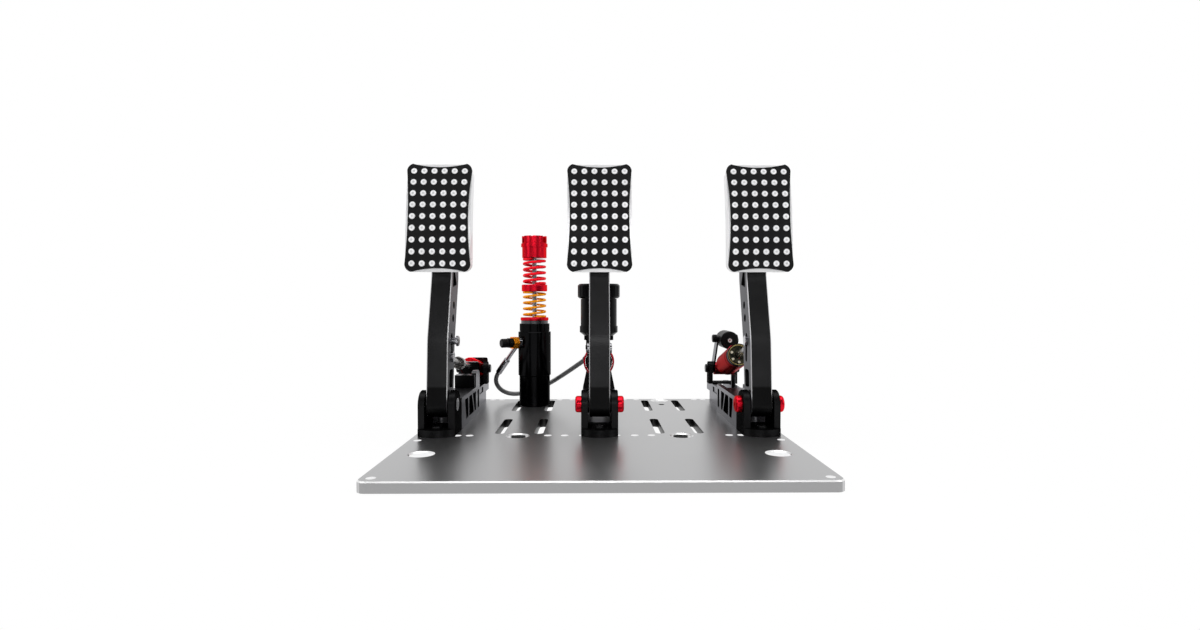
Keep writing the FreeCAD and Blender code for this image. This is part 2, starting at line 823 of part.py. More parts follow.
def pad_body(x):
    half = pad_width / 2 - 0.3
    low = pad_low_arc + 0.3
    high = pad_high_arc - 0.3
    slab = pad_slab(x, half, low, high, grip_thick, pad_depth)
    slab = slab.makeFillet(pad_corner, pad_corner_edges(slab, x, half, low, high))
    inner_half = half - pad_wall
    inner_low = low + pad_wall
    inner_high = high - pad_wall
    deep = pad_depth + 5
    hollow = pad_slab(x, inner_half, inner_low, inner_high, grip_thick + pad_floor, deep)
    round_edges = pad_corner_edges(hollow, x, inner_half, inner_low, inner_high)
    hollow = hollow.makeFillet(pad_corner - pad_wall, round_edges)
    slab = slab.cut(hollow)
    boss_low = pad_point(x, 2.0, grip_thick + pad_floor - 1)
    boss_high = pad_point(x, 48.0, grip_thick + pad_floor - 1)
    boss = side_prism([
        (boss_low.y, boss_low.z, 0),
        (boss_high.y, boss_high.z, 0),
        (-6.98, 248.0, 0),
        (-12.61, 199.5, 0),
    ], x - arm_half - 2, x + arm_half + 2)
    return fuse(slab, boss)


def strut_line(side, pin_z):
    return Strut(pedal_x[side], (yoke_y, yoke_z), (strut_pin_y, pin_z))


def strut_eye(line):
    x = line.pin.x
    eye = rod_x(eye_r, x - eye_half, x + eye_half, line.pin.y, line.pin.z)
    bore = rod_x(strut_pin_r + eye_slack, x - eye_half - 1, x + eye_half + 1, line.pin.y, line.pin.z)
    return eye, bore


def strut_rod(line, piston_at, piston_r):
    """Shaft with a piston inside the barrel, a length-adjusting collar and an eye for the arm's pin."""
    eye, bore = strut_eye(line)
    shaft = line.rod(strut_rod_r, piston_at, line.length - eye_overlap)
    piston = line.rod(piston_r, piston_at, piston_at + piston_thick)
    neck = line.rod(eye_half, line.length - eye_neck, line.length - eye_overlap)
    return shaft, piston, neck, eye, bore


def clutch_strut(line):
    x = line.rear.x
    outer = line.rod(clutch_barrel_r, clutch_barrel_rear, clutch_barrel_front)
    edge = edges_where(outer, lambda e: e.Closed)
    outer = outer.makeChamfer(1.2, edge)
    cavity = line.rod(barrel_cavity_r, clutch_barrel_rear + barrel_end, clutch_barrel_front - barrel_end)
    mouth = line.rod(strut_rod_r + running, clutch_barrel_front - barrel_end - 1, clutch_barrel_front + 1)
    post_in = foot_half - post_thick
    boss = rod_x(7.0, x - post_in + 0.3, x + post_in - 0.3, yoke_y, yoke_z)
    trunnions = rod_x(trunnion_r + running, x - post_in - 1, x + post_in + 1, yoke_y, yoke_z)
    groove = line.rod(clutch_barrel_r + 1, 21.0, 23.0).cut(line.rod(clutch_barrel_r - 0.8, 20.0, 24.0))
    body = fuse(outer, boss).cut([cavity, groove])
    core = line.rod(barrel_cavity_r + 0.5, clutch_barrel_rear + 1, clutch_barrel_front - 1)
    nodes["clutch_barrel"] = [body.cut([mouth, trunnions.cut(core)])]
    shaft, piston, neck, eye, bore = strut_rod(line, clutch_piston_at, barrel_cavity_r - 0.1)
    collar = line.rod(collar_r, collar_at, collar_at + collar_length)
    collar_edge = edges_where(collar, lambda e: e.Closed)
    collar = collar.makeChamfer(1.0, collar_edge)
    nodes["clutch_rod"] = [fuse(shaft, piston, collar, neck, eye).cut(bore)]
    spring = coil(line.rear, line.axis, 7.6, 0.9, clutch_barrel_rear + barrel_end, clutch_piston_at, 7)
    nodes["clutch_spring"] = [spring]


def throttle_strut(line):
    x = line.rear.x
    outer = line.rod(throttle_barrel_r, throttle_barrel_rear, throttle_barrel_front)
    outer = outer.makeChamfer(0.8, edges_where(outer, lambda e: e.Closed))
    cavity = line.rod(barrel_cavity_r, throttle_barrel_rear + barrel_end, throttle_barrel_front - barrel_end)
    mouth = line.rod(strut_rod_r + running, throttle_barrel_front - barrel_end - 1, throttle_barrel_front + 1)
    groove_at = throttle_barrel_front - 9.0
    groove = line.rod(throttle_barrel_r + 1, groove_at, groove_at + 2.0)
    groove = groove.cut(line.rod(throttle_barrel_r - 0.8, groove_at - 1, groove_at + 3))
    tail = line.rod(throttle_tail_r, 0, throttle_barrel_rear + 1)
    post_in = foot_half - post_thick
    hub_half = post_in - sensor_plate_thick - 0.6
    hub = rod_x(9.0, x - hub_half, x + hub_half, yoke_y, yoke_z)
    bore = rod_x(trunnion_r + running, x - hub_half - 1, x + hub_half + 1, yoke_y, yoke_z)
    nodes["throttle_barrel"] = [fuse(outer, tail, hub).cut([cavity, mouth, groove, bore])]
    shaft, piston, neck, eye, eye_bore = strut_rod(line, throttle_piston_at, barrel_cavity_r - 0.1)
    nodes["throttle_rod"] = [fuse(shaft, piston, neck, eye).cut(eye_bore)]
    spring = coil(line.rear, line.axis, 7.6, 1.1, throttle_barrel_rear + barrel_end, throttle_piston_at, 9)
    nodes["throttle_spring"] = [spring]
    ring_end = throttle_barrel_front + terminal_ring_length
    ring = line.rod(terminal_ring_r, throttle_barrel_front, ring_end)
    dish = line.rod(terminal_ring_r - 1.6, ring_end - 2.0, ring_end + 1)
    hole = line.rod(strut_rod_r + 0.6, throttle_barrel_front - 1, ring_end + 1)
    board = ring.cut([dish, hole])
    terminals = []
    for turn in (70, 125, 180, 235, 290):
        angle = math.radians(turn)
        across = V(1, 0, 0)
        up = line.axis.cross(across)
        place = line.at(ring_end - 2.0) + (across * math.sin(angle) + up * math.cos(angle)) * 9.4
        terminals.append(Part.makeCylinder(1.7, 1.6, place, line.axis))
    nodes["throttle_terminals"] = [fuse(board, *terminals)]


def brake_strut(line):
    """Master cylinder with its flange ring, and the push rod that runs in it from the arm."""
    start = line.length - master_ring_at
    ring_end = start - master_ring_thick
    body_end = line.length - master_end
    body = line.rod(master_r, body_end, ring_end)
    body = body.makeChamfer(1.5, [e for e in body.Edges if e.Closed
                                  and (e.CenterOfMass - line.at(body_end)).Length < 0.1])
    bore = line.rod(master_bore_r, body_end + 8, ring_end + 1)
    port_low = line_height(line, master_port_y)
    port = rod_z(master_port_r, master_port_x, master_port_y, port_low, master_port_z + master_port_over)
    inlet_z = line_height(line, feed_y) + inlet_rise
    inlet = rod_x(inlet_r, feed_x - inlet_r, -inlet_r - 1, feed_y, inlet_z)
    nipple = rod_z(nipple_r, feed_x, feed_y, inlet_z, inlet_z + nipple_length)
    nodes["master_cylinder"] = [fuse(body, port, inlet, nipple).cut(bore)]
    ring = line.rod(master_ring_r, ring_end, start)
    ring = ring.makeChamfer(0.8, edges_where(ring, lambda e: e.Closed))
    dish = line.rod(master_ring_r - master_ring_rim, start - master_ring_dish, start + 1)
    hole = line.rod(push_rod_r + running, ring_end - 1, start + 1)
    nodes["master_ring"] = [ring.cut([dish, hole])]
    eye, eye_bore = strut_eye(line)
    shaft = line.rod(push_rod_r, line.length - push_piston_at, line.length - eye_overlap)
    piston_at = line.length - push_piston_at - push_piston
    piston = line.rod(master_bore_r - running, piston_at, piston_at + push_piston)
    neck = line.rod(eye_half, line.length - eye_neck, line.length - eye_overlap)
    nodes["push_rod"] = [fuse(shaft, piston, neck, eye).cut(eye_bore)]
    brake_mount(line)
    return inlet_z + nipple_length


def line_height(line, y):
    """Z of a strut's axis at this Y."""
    share = (y - line.rear.y) / (line.pin.y - line.rear.y)
    return line.rear.z + share * (line.pin.z - line.rear.z)


def brake_mount(line):
    """Front and rear saddles that carry the master cylinder over the brake frame."""
    mount_end = mount_start + mount_thick
    front_saddle = front_prism([
        (-foot_half, rail_top, 0),
        (-mount_half, 68.0, 4),
        (-mount_half, mount_top, 3),
        (mount_half, mount_top, 3),
        (mount_half, 68.0, 4),
        (foot_half, rail_top, 0),
    ], mount_start, mount_end)
    clamp_end = clamp_y + clamp_thick
    rear_saddle = front_prism([
        (-rear_half, rear_top, 0),
        (-rear_half, 66.0, 4),
        (rear_half, 66.0, 4),
        (rear_half, rear_top, 0),
    ], clamp_y, clamp_end)
    seat = line.rod(master_r + seating, -60, line.length)
    nodes["master_mount"] = [front_saddle.cut(seat), rear_saddle.cut(seat)]


def reservoir(feed_low):
    x = 0.0
    y = reservoir_y
    taper_top = reservoir_low + 4.5
    low = cone_z(reservoir_r - 4.5, reservoir_collar_r, x, y, reservoir_low, taper_top)
    collar = rod_z(reservoir_collar_r, x, y, taper_top, reservoir_collar_top)
    wall = rod_z(reservoir_r, x, y, reservoir_collar_top, reservoir_top)
    neck_r = reservoir_r - 1.5
    neck = rod_z(neck_r, x, y, reservoir_top, reservoir_top + cap_screwed)
    body = fuse(low, collar, wall, neck)
    inside = rod_z(neck_r - reservoir_wall, x, y, taper_top, reservoir_top + cap_screwed + 1)
    outlet = rod_z(feed_bore_r, feed_x, feed_y, reservoir_low - 1, taper_top + 1)
    nodes["reservoir"] = [body.cut([inside, outlet])]
    cap_low_z = reservoir_top + cap_gap
    cap = rod_z(reservoir_cap_r, x, y, cap_low_z, reservoir_cap_top)
    cap = cap.makeChamfer(2.0, edges_where(cap, lambda e: e.Closed))
    flutes = []
    for i in range(cap_flutes):
        angle = 2 * math.pi * i / cap_flutes
        reach = reservoir_cap_r + 1.0
        spot = (x + reach * math.cos(angle), y + reach * math.sin(angle))
        margin = 2 * cap_flute_r
        flutes.append(rod_z(cap_flute_r, *spot, cap_low_z + margin, reservoir_cap_top - margin))
    socket = rod_z(neck_r + running, x, y, cap_low_z - 1, reservoir_top + cap_screwed)
    nodes["reservoir_cap"] = [cap.cut(flutes + [socket])]
    foot = box(-17, 17, mount_start, mount_start + mount_thick, mount_top, mount_top + 5)
    neck_block = box(-9, 9, mount_start, mount_start + mount_thick, mount_top + 5, cup_low)
    cup = rod_z(reservoir_r - 4.5, x, y, cup_low, reservoir_low)
    gap = rod_z(feed_r + 0.8, feed_x, feed_y, mount_top - 1, reservoir_low + 1)
    nodes["reservoir_bracket"] = [fuse(foot, neck_block, cup).cut(gap)]
    nodes["feed_hose"] = [rod_z(feed_r, feed_x, feed_y, feed_low, reservoir_low)
                          .cut(rod_z(feed_bore_r, feed_x, feed_y, feed_low - 1, reservoir_low + 1))]


def throttle_sensor():
    x = pedal_spacing
    housing = Part.makeCylinder(sensor_r, sensor_length, V(x, sensor_y, sensor_z), V(0, 1, 0))
    housing = housing.makeChamfer(1.2, edges_where(housing, lambda e: e.Closed))
    screw = Part.makeCylinder(sensor_screw_r, 2.0, V(x, sensor_y - 1.2, sensor_z), V(0, 1, 0))
    recess = Part.makeCylinder(sensor_screw_r + seating, 1.0, V(x, sensor_y - 0.2, sensor_z), V(0, 1, 0))
    hexa = hexagon(4.0, V(x, sensor_y - 1.3, sensor_z), (0, 1, 0), 1.2)
    nodes["sensor_screw"] = [screw.cut(hexa)]
    strap_top_y = sensor_y + 21.0
    lean = V(0, strap_top_y - yoke_y, sensor_z - yoke_z)
    length = lean.Length
    lean.normalize()
    across = V(1, 0, 0).cross(lean)
    straps = []
    inner = sensor_r
    outer = sensor_r + sensor_plate_thick
    for side in (-1, 1):
        ends = sorted((x + side * inner, x + side * outer))
        low = V(ends[0], yoke_y, yoke_z)
        corners = [low + across * sensor_plate_half, low - across * sensor_plate_half]
        corners += [c + lean * length for c in reversed(corners)]
        strap = Part.Face(Part.makePolygon(corners + corners[:1])).extrude(V(ends[1] - ends[0], 0, 0))
        strap = fuse(strap, rod_x(sensor_plate_half, *ends, yoke_y, yoke_z),
                     rod_x(sensor_plate_half, *ends, strap_top_y, sensor_z))
        straps.append(strap.cut(rod_x(trunnion_r + running, ends[0] - 1, ends[1] + 1, yoke_y, yoke_z)))
    knob_end = x - outer - sensor_knob
    knob = rod_x(sensor_knob_r, knob_end, x - outer, strap_top_y, sensor_z + 1.5)
    knob = knob.makeChamfer(1.0, edges_where(knob, lambda e: e.CenterOfMass.x < knob_end + 0.1))
    nodes["sensor_straps"] = straps
    nodes["throttle_sensor"] = [housing.cut(recess), knob]


def rear_pins():
    pins = []
    post_in = foot_half - post_thick
    outer = foot_half + trunnion_head
    x = pedal_x["clutch"]
    for side in (-1, 1):
        shaft = rod_x(trunnion_r, *sorted((x + side * (barrel_cavity_r + 0.8), x + side * foot_half)),
                      yoke_y, yoke_z)
        pins.append(fuse(shaft, pin_head(x, side, outer)))
    x = pedal_x["throttle"]
    shaft = rod_x(trunnion_r, x - foot_half, x + foot_half, yoke_y, yoke_z)
    pins.append(fuse(shaft, pin_head(x, -1, outer), pin_head(x, 1, outer)))
    return pins


def pin_head(x, side, outer):
    head = rod_x(trunnion_head_r, *sorted((x + side * foot_half, x + side * outer)), yoke_y, yoke_z)
    rim = edges_where(head, lambda e: abs(e.CenterOfMass.x - (x + side * outer)) < 0.01)
    return head.makeFillet(1.6, rim)


def button_screw(x, y, z):
    head = Part.makeCylinder(screw_head_r, screw_head, V(x, y, z), V(0, 0, 1))
    head = head.makeFillet(1.6, [e for e in head.Edges if e.CenterOfMass.z > z + screw_head - 0.01])
    head = head.cut(hexagon(4.0, V(x, y, z + 1.2), (0, 0, 1), 3.0))
    return fuse(head, rod_z(screw_r, x, y, 0.5, z))


def plate_screws():
    screws = []
    for x in pedal_x.values():
        screws.append(button_screw(x, nose_screw_y, floor_top))
        for y in channel_screw_rows:
            screws.append(button_screw(x, y, plate_thick + frame_floor))
    head = rod_z(slave_head_r, slave_x, slave_y, 0.3, slave_head)
    bolt = fuse(head, rod_z(screw_r, slave_x, slave_y, slave_head, slave_bolt_top))
    screws.append(bolt.cut(hexagon(6.0, V(slave_x, slave_y, 0), (0, 0, 1), 3.0)))
    return screws


def slave_cylinder():
    x = slave_x
    y = slave_y
    turn = math.radians(port_turn)
    out = V(-math.cos(turn), -math.sin(turn), 0)
    port = V(x, y, port_z)
    foot = rod_z(slave_foot_r, x, y, plate_thick, slave_foot_top)
    foot = foot.makeChamfer(0.8, edges_where(foot, lambda e: e.Closed))
    tube = rod_z(slave_tube_r, x, y, slave_foot_top, sleeve_top)
    chamber = rod_z(piston_r + running, x, y, chamber_low, sleeve_top + 1)
    guide_seat = rod_z(guide_r, x, y, chamber_low - 8, chamber_low + 1)
    bolt_hole = rod_z(screw_r + running, x, y, plate_thick - 1, slave_bolt_top + 1)
    port_hole = Part.makeCylinder(screw_r + running, 20, port + out * (piston_r - 1), out)
    nodes["slave_body"] = [fuse(foot, tube).cut([chamber, guide_seat, bolt_hole, port_hole])]
    sleeve = rod_z(sleeve_r, x, y, slave_foot_top, sleeve_top)
    sleeve = sleeve.makeChamfer(0.5, edges_where(sleeve, lambda e: e.Closed))
    sleeve_bore = rod_z(slave_tube_r, x, y, slave_foot_top - 1, sleeve_top + 1)
    nodes["slave_sleeve"] = [sleeve.cut([sleeve_bore, port_hole])]
    gland = fuse(rod_z(slave_tube_r, x, y, sleeve_top, gland_low), rod_z(gland_r, x, y, gland_low, gland_top))
    nodes["slave_gland"] = [gland.cut(rod_z(piston_r + running, x, y, sleeve_top - 1, gland_top + 1))]
    guide_bore = rod_z(guide_r + running, x, y, chamber_low, cap_top)
    piston = rod_z(piston_r, x, y, piston_low, piston_top)
    nodes["slave_piston"] = [piston.cut(guide_bore)]
    seat = rod_z(seat_r, x, y, piston_top, seat_top)
    seat = seat.makeChamfer(0.6, edges_where(seat, lambda e: e.Closed))
    nodes["spring_seat"] = [seat.cut(guide_bore)]
    spacer = rod_z(spacer_r, x, y, spacer_low, spacer_top)
    spacer = spacer.makeFillet(1.4, edges_where(spacer, lambda e: e.Closed))
    nodes["spring_spacer"] = [spacer.cut(guide_bore)]
    axis = V(0, 0, 1)
    foot_point = V(x, y, 0)
    lower = coil(foot_point, axis, lower_coil_r, lower_wire_r, seat_top, spacer_low, slave_turns)
    upper = coil(foot_point, axis, upper_coil_r, upper_wire_r, spacer_top, cap_low, slave_turns)
    nodes["lower_spring"] = [lower]
    nodes["upper_spring"] = [upper]
    rod_top = cap_top - 3
    guide = rod_z(guide_r, x, y, chamber_low - 8, rod_top)
    collar = rod_z(guide_collar_r, x, y, guide_collar_z, guide_collar_z + guide_collar_thick)
    nodes["slave_rod"] = [fuse(guide, collar)]
    preload_cap(x, y, rod_top)
    banjo_at = sleeve_r + 0.05
    adapter_at = banjo_at + banjo_thick
    bleed_at = adapter_at + adapter_length
    waist_at = bleed_at + bleed_hex_length
    tip_at = waist_at + bleed_waist_length
    shank = Part.makeCylinder(screw_r, adapter_at - piston_r - 0.4, port + out * (piston_r + 0.4), out)
    adapter = hexagon(adapter_flats, port + out * adapter_at, out, adapter_length)
    nodes["port_adapter"] = [fuse(shank, adapter)]
    bleed = hexagon(bleed_flats, port + out * bleed_at, out, bleed_hex_length)
    waist = Part.makeCylinder(bleed_waist_r, bleed_waist_length, port + out * waist_at, out)
    tip = Part.makeCylinder(bleed_tip_r, bleed_tip_length, port + out * tip_at, out)
    tip_end = port + out * (tip_at + bleed_tip_length)
    tip = tip.makeFillet(1.8, edges_where(tip, lambda e: (e.CenterOfMass - tip_end).Length < 0.1))
    nodes["bleed_cap"] = [fuse(bleed, waist, tip)]
    centre = port + out * (banjo_at + banjo_thick / 2)
    nodes["hose_fittings"] = [banjo(centre, out, V(*hose_route[0]), ferrule_length,
                                    screw_r + seating, banjo_r + banjo_clear)]


def preload_cap(x, y, rod_top):
    """Screwed cap over the upper spring: fluted skirt, flange and a crown with radial notches."""
    body = fuse(
        rod_z(cap_body_r, x, y, cap_low, cap_flange_low),
        rod_z(cap_flange_r, x, y, cap_flange_low, cap_flange_top),
        rod_z(cap_crown_r - cap_neck, x, y, cap_flange_top, cap_flange_top + cap_neck),
        rod_z(cap_crown_r, x, y, cap_flange_top + cap_neck, cap_top),
    )
    dome = cone_z(guide_r, guide_r - 1.2, x, y, cap_top, cap_top + cap_dome)
    cuts = [rod_z(guide_r + running, x, y, cap_low - 1, rod_top + 0.2)]
    for i in range(8):
        angle = math.radians(45 * i)
        reach = cap_body_r + 2.6
        spot = (x + reach * math.cos(angle), y + reach * math.sin(angle))
        cuts.append(rod_z(3.6, *spot, cap_low - 1, cap_flange_low - 1.2))
    for i in range(cap_notches):
        notch = box(x + cap_notch_root, x + cap_flange_r, y - cap_notch_half, y + cap_notch_half,
                    cap_flange_top + cap_neck, cap_top + 1)
        notch.rotate(V(x, y, 0), V(0, 0, 1), 360 / cap_notches * (i + 0.5))
        cuts.append(notch)
    nodes["preload_cap"] = [fuse(body, dome).cut(cuts)]


def banjo(centre, axis, hose_end, ferrule, bore_r, clear_r):
    """Ring about a port bolt, with a stem and a crimped ferrule that ends where the hose begins."""
    axis = V(*axis).normalize()
    ring = Part.makeCylinder(banjo_r, banjo_thick, centre - axis * (banjo_thick / 2), axis)
    reach = hose_end - centre
    length = reach.Length
    reach.normalize()
    stem = Part.makeCylinder(stem_r, length - 4, centre + reach * 4, reach)
    sleeve = Part.makeCylinder(ferrule_r, ferrule, hose_end - reach * ferrule, reach)
    sleeve = sleeve.makeChamfer(0.7, edges_where(sleeve, lambda e: e.Closed))
    bore = Part.makeCylinder(bore_r, banjo_thick + 8, centre - axis * (banjo_thick / 2 + 4), axis)
    below = Part.makeCylinder(clear_r, 12, centre - axis * (banjo_thick / 2 + 12), axis)
    above = Part.makeCylinder(clear_r, 12, centre + axis * (banjo_thick / 2), axis)
    return fuse(ring, stem, sleeve).cut([bore, below, above])


def brake_hose():
    path, radii = tube_path(hose_route)
    start = V(*hose_route[0])
    direction = (V(*hose_route[1]) - start).normalize()
    hose = path.makePipeShell([circle_at(start, direction, hose_r)], True, True)
    expected = math.pi * hose_r ** 2 * path.Length
    print("hose length %.1f, volume %.0f of %.0f" % (path.Length, hose.Volume, expected))
    print("hose bend radii", [round(r, 1) for r in radii])
    return hose


nodes["base_plate"] = [base_plate()]
for name, x in pedal_x.items():
    nodes[name + "_clevis"] = [clevis(x)]
    nodes[name + "_frame"] = [frame(x)]
    nodes[name + "_arm"] = [arm(x)]
    nodes[name + "_pad_body"] = [pad_body(x)]
    nodes[name + "_pad_grip"] = [pad_grip(x)]
    nodes[name + "_pad_studs"] = pad_studs(x)
nodes["clutch_frame"] = [fuse(nodes["clutch_frame"][0], *stop_block(pedal_x["clutch"]))]
nodes["throttle_frame"] = [fuse(nodes["throttle_frame"][0], stop_post(pedal_x["throttle"]))]
nodes["pivot_pins"] = [pivot_pin(x) for x in pedal_x.values()]
nodes["pivot_knobs"] = [pivot_knob(pedal_x[name], side) for name in ("brake", "throttle") for side in (-1, 1)]
nodes["ear_bushes"] = [bush for x in pedal_x.values() for bush in ear_bushes(x)]
nodes["rear_yokes"] = [rear_yoke(pedal_x["clutch"], True), rear_yoke(pedal_x["throttle"], False)]
nodes["rear_pins"] = rear_pins()
nodes["plate_screws"] = plate_screws()
nodes["clutch_arm_pins"] = [strut_pin(pedal_x["clutch"], clutch_pin_z), tether_pin(pedal_x["clutch"], 1)]
nodes["brake_arm_pin"] = [strut_pin(pedal_x["brake"], brake_pin_z)]
nodes["throttle_arm_pin"] = [strut_pin(pedal_x["throttle"], throttle_pin_z)]
clutch_strut(strut_line("clutch", clutch_pin_z))
throttle_strut(strut_line("throttle", throttle_pin_z))
brake_rear_y = yoke_y
brake_rear_z = brake_pin_z - master_slope * (brake_rear_y - strut_pin_y)
feed_low = brake_strut(Strut(0.0, (brake_rear_y, brake_rear_z), (strut_pin_y, brake_pin_z)))
reservoir(feed_low)
throttle_sensor()
slave_cylinder()
port_centre = V(master_port_x, master_port_y, master_port_z)
nodes["hose_fittings"].append(banjo(port_centre, (0, 0, 1), V(*hose_route[-1]), master_ferrule_length,
                                    master_port_r + seating, master_port_r + seating))
nodes["brake_hose"] = [brake_hose()]

for name, solids in nodes.items():
    shape = solids[0] if len(solids) == 1 else Part.makeCompound(solids)
    for solid in solids:
        if not solid.isValid() or len(solid.Solids) != 1:
            print("check", name, solid.isValid(), len(solid.Solids))
    shape.exportStep("parts/%s.step" % name)
print(len(nodes), "nodes")
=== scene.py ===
# %% [markdown]
# # A sim racing pedal set
# The pedals arrive as a finished metal construction: plate, frames, arms, pads, struts and
# cylinders. What is left to do is what a painter and a photographer would do. Each metal gets its
# own surface, the brake hose is laid along its route, and a pale studio is put around the set.

# %% Load the construction
import json
import math

import bpy
import numpy as np
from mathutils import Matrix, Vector


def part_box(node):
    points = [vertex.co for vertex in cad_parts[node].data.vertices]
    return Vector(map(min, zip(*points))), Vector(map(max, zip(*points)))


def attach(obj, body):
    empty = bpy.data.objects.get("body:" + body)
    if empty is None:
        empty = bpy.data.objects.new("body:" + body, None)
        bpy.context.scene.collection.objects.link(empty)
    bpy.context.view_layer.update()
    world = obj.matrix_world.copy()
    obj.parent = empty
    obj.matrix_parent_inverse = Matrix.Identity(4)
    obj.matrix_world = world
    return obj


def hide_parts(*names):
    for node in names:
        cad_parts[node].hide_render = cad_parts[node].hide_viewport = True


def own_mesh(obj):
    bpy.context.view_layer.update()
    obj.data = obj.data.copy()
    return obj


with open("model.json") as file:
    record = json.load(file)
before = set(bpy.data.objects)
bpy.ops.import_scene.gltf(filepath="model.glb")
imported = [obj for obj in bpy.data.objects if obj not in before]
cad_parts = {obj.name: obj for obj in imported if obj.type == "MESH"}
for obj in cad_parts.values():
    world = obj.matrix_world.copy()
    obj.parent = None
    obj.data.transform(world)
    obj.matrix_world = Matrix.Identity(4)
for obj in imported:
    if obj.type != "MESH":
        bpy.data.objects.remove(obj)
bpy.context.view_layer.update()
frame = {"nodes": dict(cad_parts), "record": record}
nodes = frame["nodes"]
scene = bpy.context.scene
MM = 0.001

# %% [markdown]
# The photograph was taken from the driver's side, a little above the plate's front edge and close
# enough that the plate spreads out towards the viewer. A lens of 19 mm on a 36 mm sensor gives
# the same spread. The camera looks almost level, turned half a degree to the right.

# %% Camera
PHOTO_WIDTH_PX = 1200.0
FOCAL_PX = 640.0
SENSOR_WIDTH_MM = 36.0
camera_place = (-6.85 * MM, -743.5 * MM, 161.0 * MM)
camera_down = math.radians(1.46)
camera_right = math.radians(0.59)

camera_data = bpy.data.cameras.new("studio_camera")
camera_data.sensor_width = SENSOR_WIDTH_MM
camera_data.lens = SENSOR_WIDTH_MM * FOCAL_PX / PHOTO_WIDTH_PX
camera_data.clip_start = 0.01
camera = bpy.data.objects.new("studio_camera", camera_data)
camera.location = camera_place
camera.rotation_euler = (math.pi / 2 - camera_down, 0, -camera_right)
scene.collection.objects.link(camera)
scene.camera = camera
print("lens", round(camera_data.lens, 2), "mm")

# %% [markdown]
# The brake hose runs from the slave cylinder down to the plate, round behind the cylinder and up
# to the master cylinder. It is a fixed length of braided line in a clear sleeve, held by a
# crimped ferrule at each end. A mesh tube could follow the route too, but a spline through
# the listed points gives one smooth curve, and its round bevel gives it its thickness.

# %% Brake hose
HOSE_D = 6.4 * MM
hose_route = [
    (-144.5, 187.0, 54.0),
    (-149.6, 192.4, 47.3),
    (-149.9, 196.8, 35.4),
    (-142.4, 200.8, 25.0),
    (-128.8, 203.8, 19.4),
    (-110.0, 205.7, 20.6),
    (-91.4, 204.7, 27.6),
    (-74.4, 196.5, 34.8),
    (-56.5, 170.5, 48.0),
    (-35.2, 141.5, 64.8),
    (-17.9, 116.6, 79.1),
]


def spline_through(name, points, radius):
    """Round tube on a quadratic spline whose control points are the route's points.

    The bevel is one metre thick and each point scales it down to the hose, so that Blender's box
    of the curve, which counts the points' radii, is the hose's own box.
    """
    curve = bpy.data.curves.new(name, "CURVE")
    curve.dimensions = "3D"
    curve.bevel_depth = 1.0
    curve.bevel_resolution = 6
    curve.resolution_u = 12
    curve.use_fill_caps = True
    spline = curve.splines.new("NURBS")
    spline.points.add(len(points) - 1)
    weights = np.ones((len(points), 1))
    spline.points.foreach_set("co", np.hstack([np.array(points) * MM, weights]).ravel())
    spline.points.foreach_set("radius", np.full(len(points), radius))
    spline.order_u = 3
    spline.use_endpoint_u = True
    piece = bpy.data.objects.new(name, curve)
    scene.collection.objects.link(piece)
    return piece


hose = spline_through("hose_braided", hose_route, HOSE_D / 2)
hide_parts("brake_hose")
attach(hose, "base")

# %% [markdown]
# Springs and the boot are round things that follow a line. Each can be written as a grid of
# points: the rows follow the line and the columns go round it. Four neighbours make a face, and
# the last column joins the first. One helper turns such a grid into a piece, and another gives
# the two directions in which "round" is measured.


# %% Grids of points
def grid_piece(name, points):
    """Mesh of a grid of points, rows by columns, closed round its columns, with smooth faces."""
    rows, columns = points.shape[:2]
    row, column = np.meshgrid(np.arange(rows - 1), np.arange(columns), indexing="ij")
    right = (column + 1) % columns
    faces = np.stack([row * columns + column, row * columns + right,
                      (row + 1) * columns + right, (row + 1) * columns + column], axis=-1)
    mesh = bpy.data.meshes.new(name)
    mesh.from_pydata(points.reshape(-1, 3).tolist(), [], faces.reshape(-1, 4).tolist())
    mesh.polygons.foreach_set("use_smooth", np.ones(len(mesh.polygons), dtype=bool))
    piece = bpy.data.objects.new(name, mesh)
    scene.collection.objects.link(piece)
    return piece


def unit(axis):
    """The same direction, one long."""
    return np.array(axis) / np.linalg.norm(axis)


def frame_about(axis):
    """An axis, one long, and two directions square to it and to each other."""
    axis = unit(axis)
    side = np.cross(axis, (0.0, 1.0, 0.0))
    if np.linalg.norm(side) < 0.1:
        side = np.array((1.0, 0.0, 0.0))
    side /= np.linalg.norm(side)
    return axis, side, np.cross(axis, side)


print("grid helpers ready")

# %% [markdown]
# A spring is one wire: it lies flat for a part of its first turn, climbs evenly, and lies flat
# again at the top. The height along the wire is a straight line with both ends clipped, and a
# circle is carried along the wire to give it its thickness. Two coloured springs stand on the
# slave cylinder.

# %% Springs of the slave cylinder
UP = (0, 0, 1)
FLAT_TURNS = 0.45
ROWS_PER_TURN = 40
WIRE_SIDES = 14


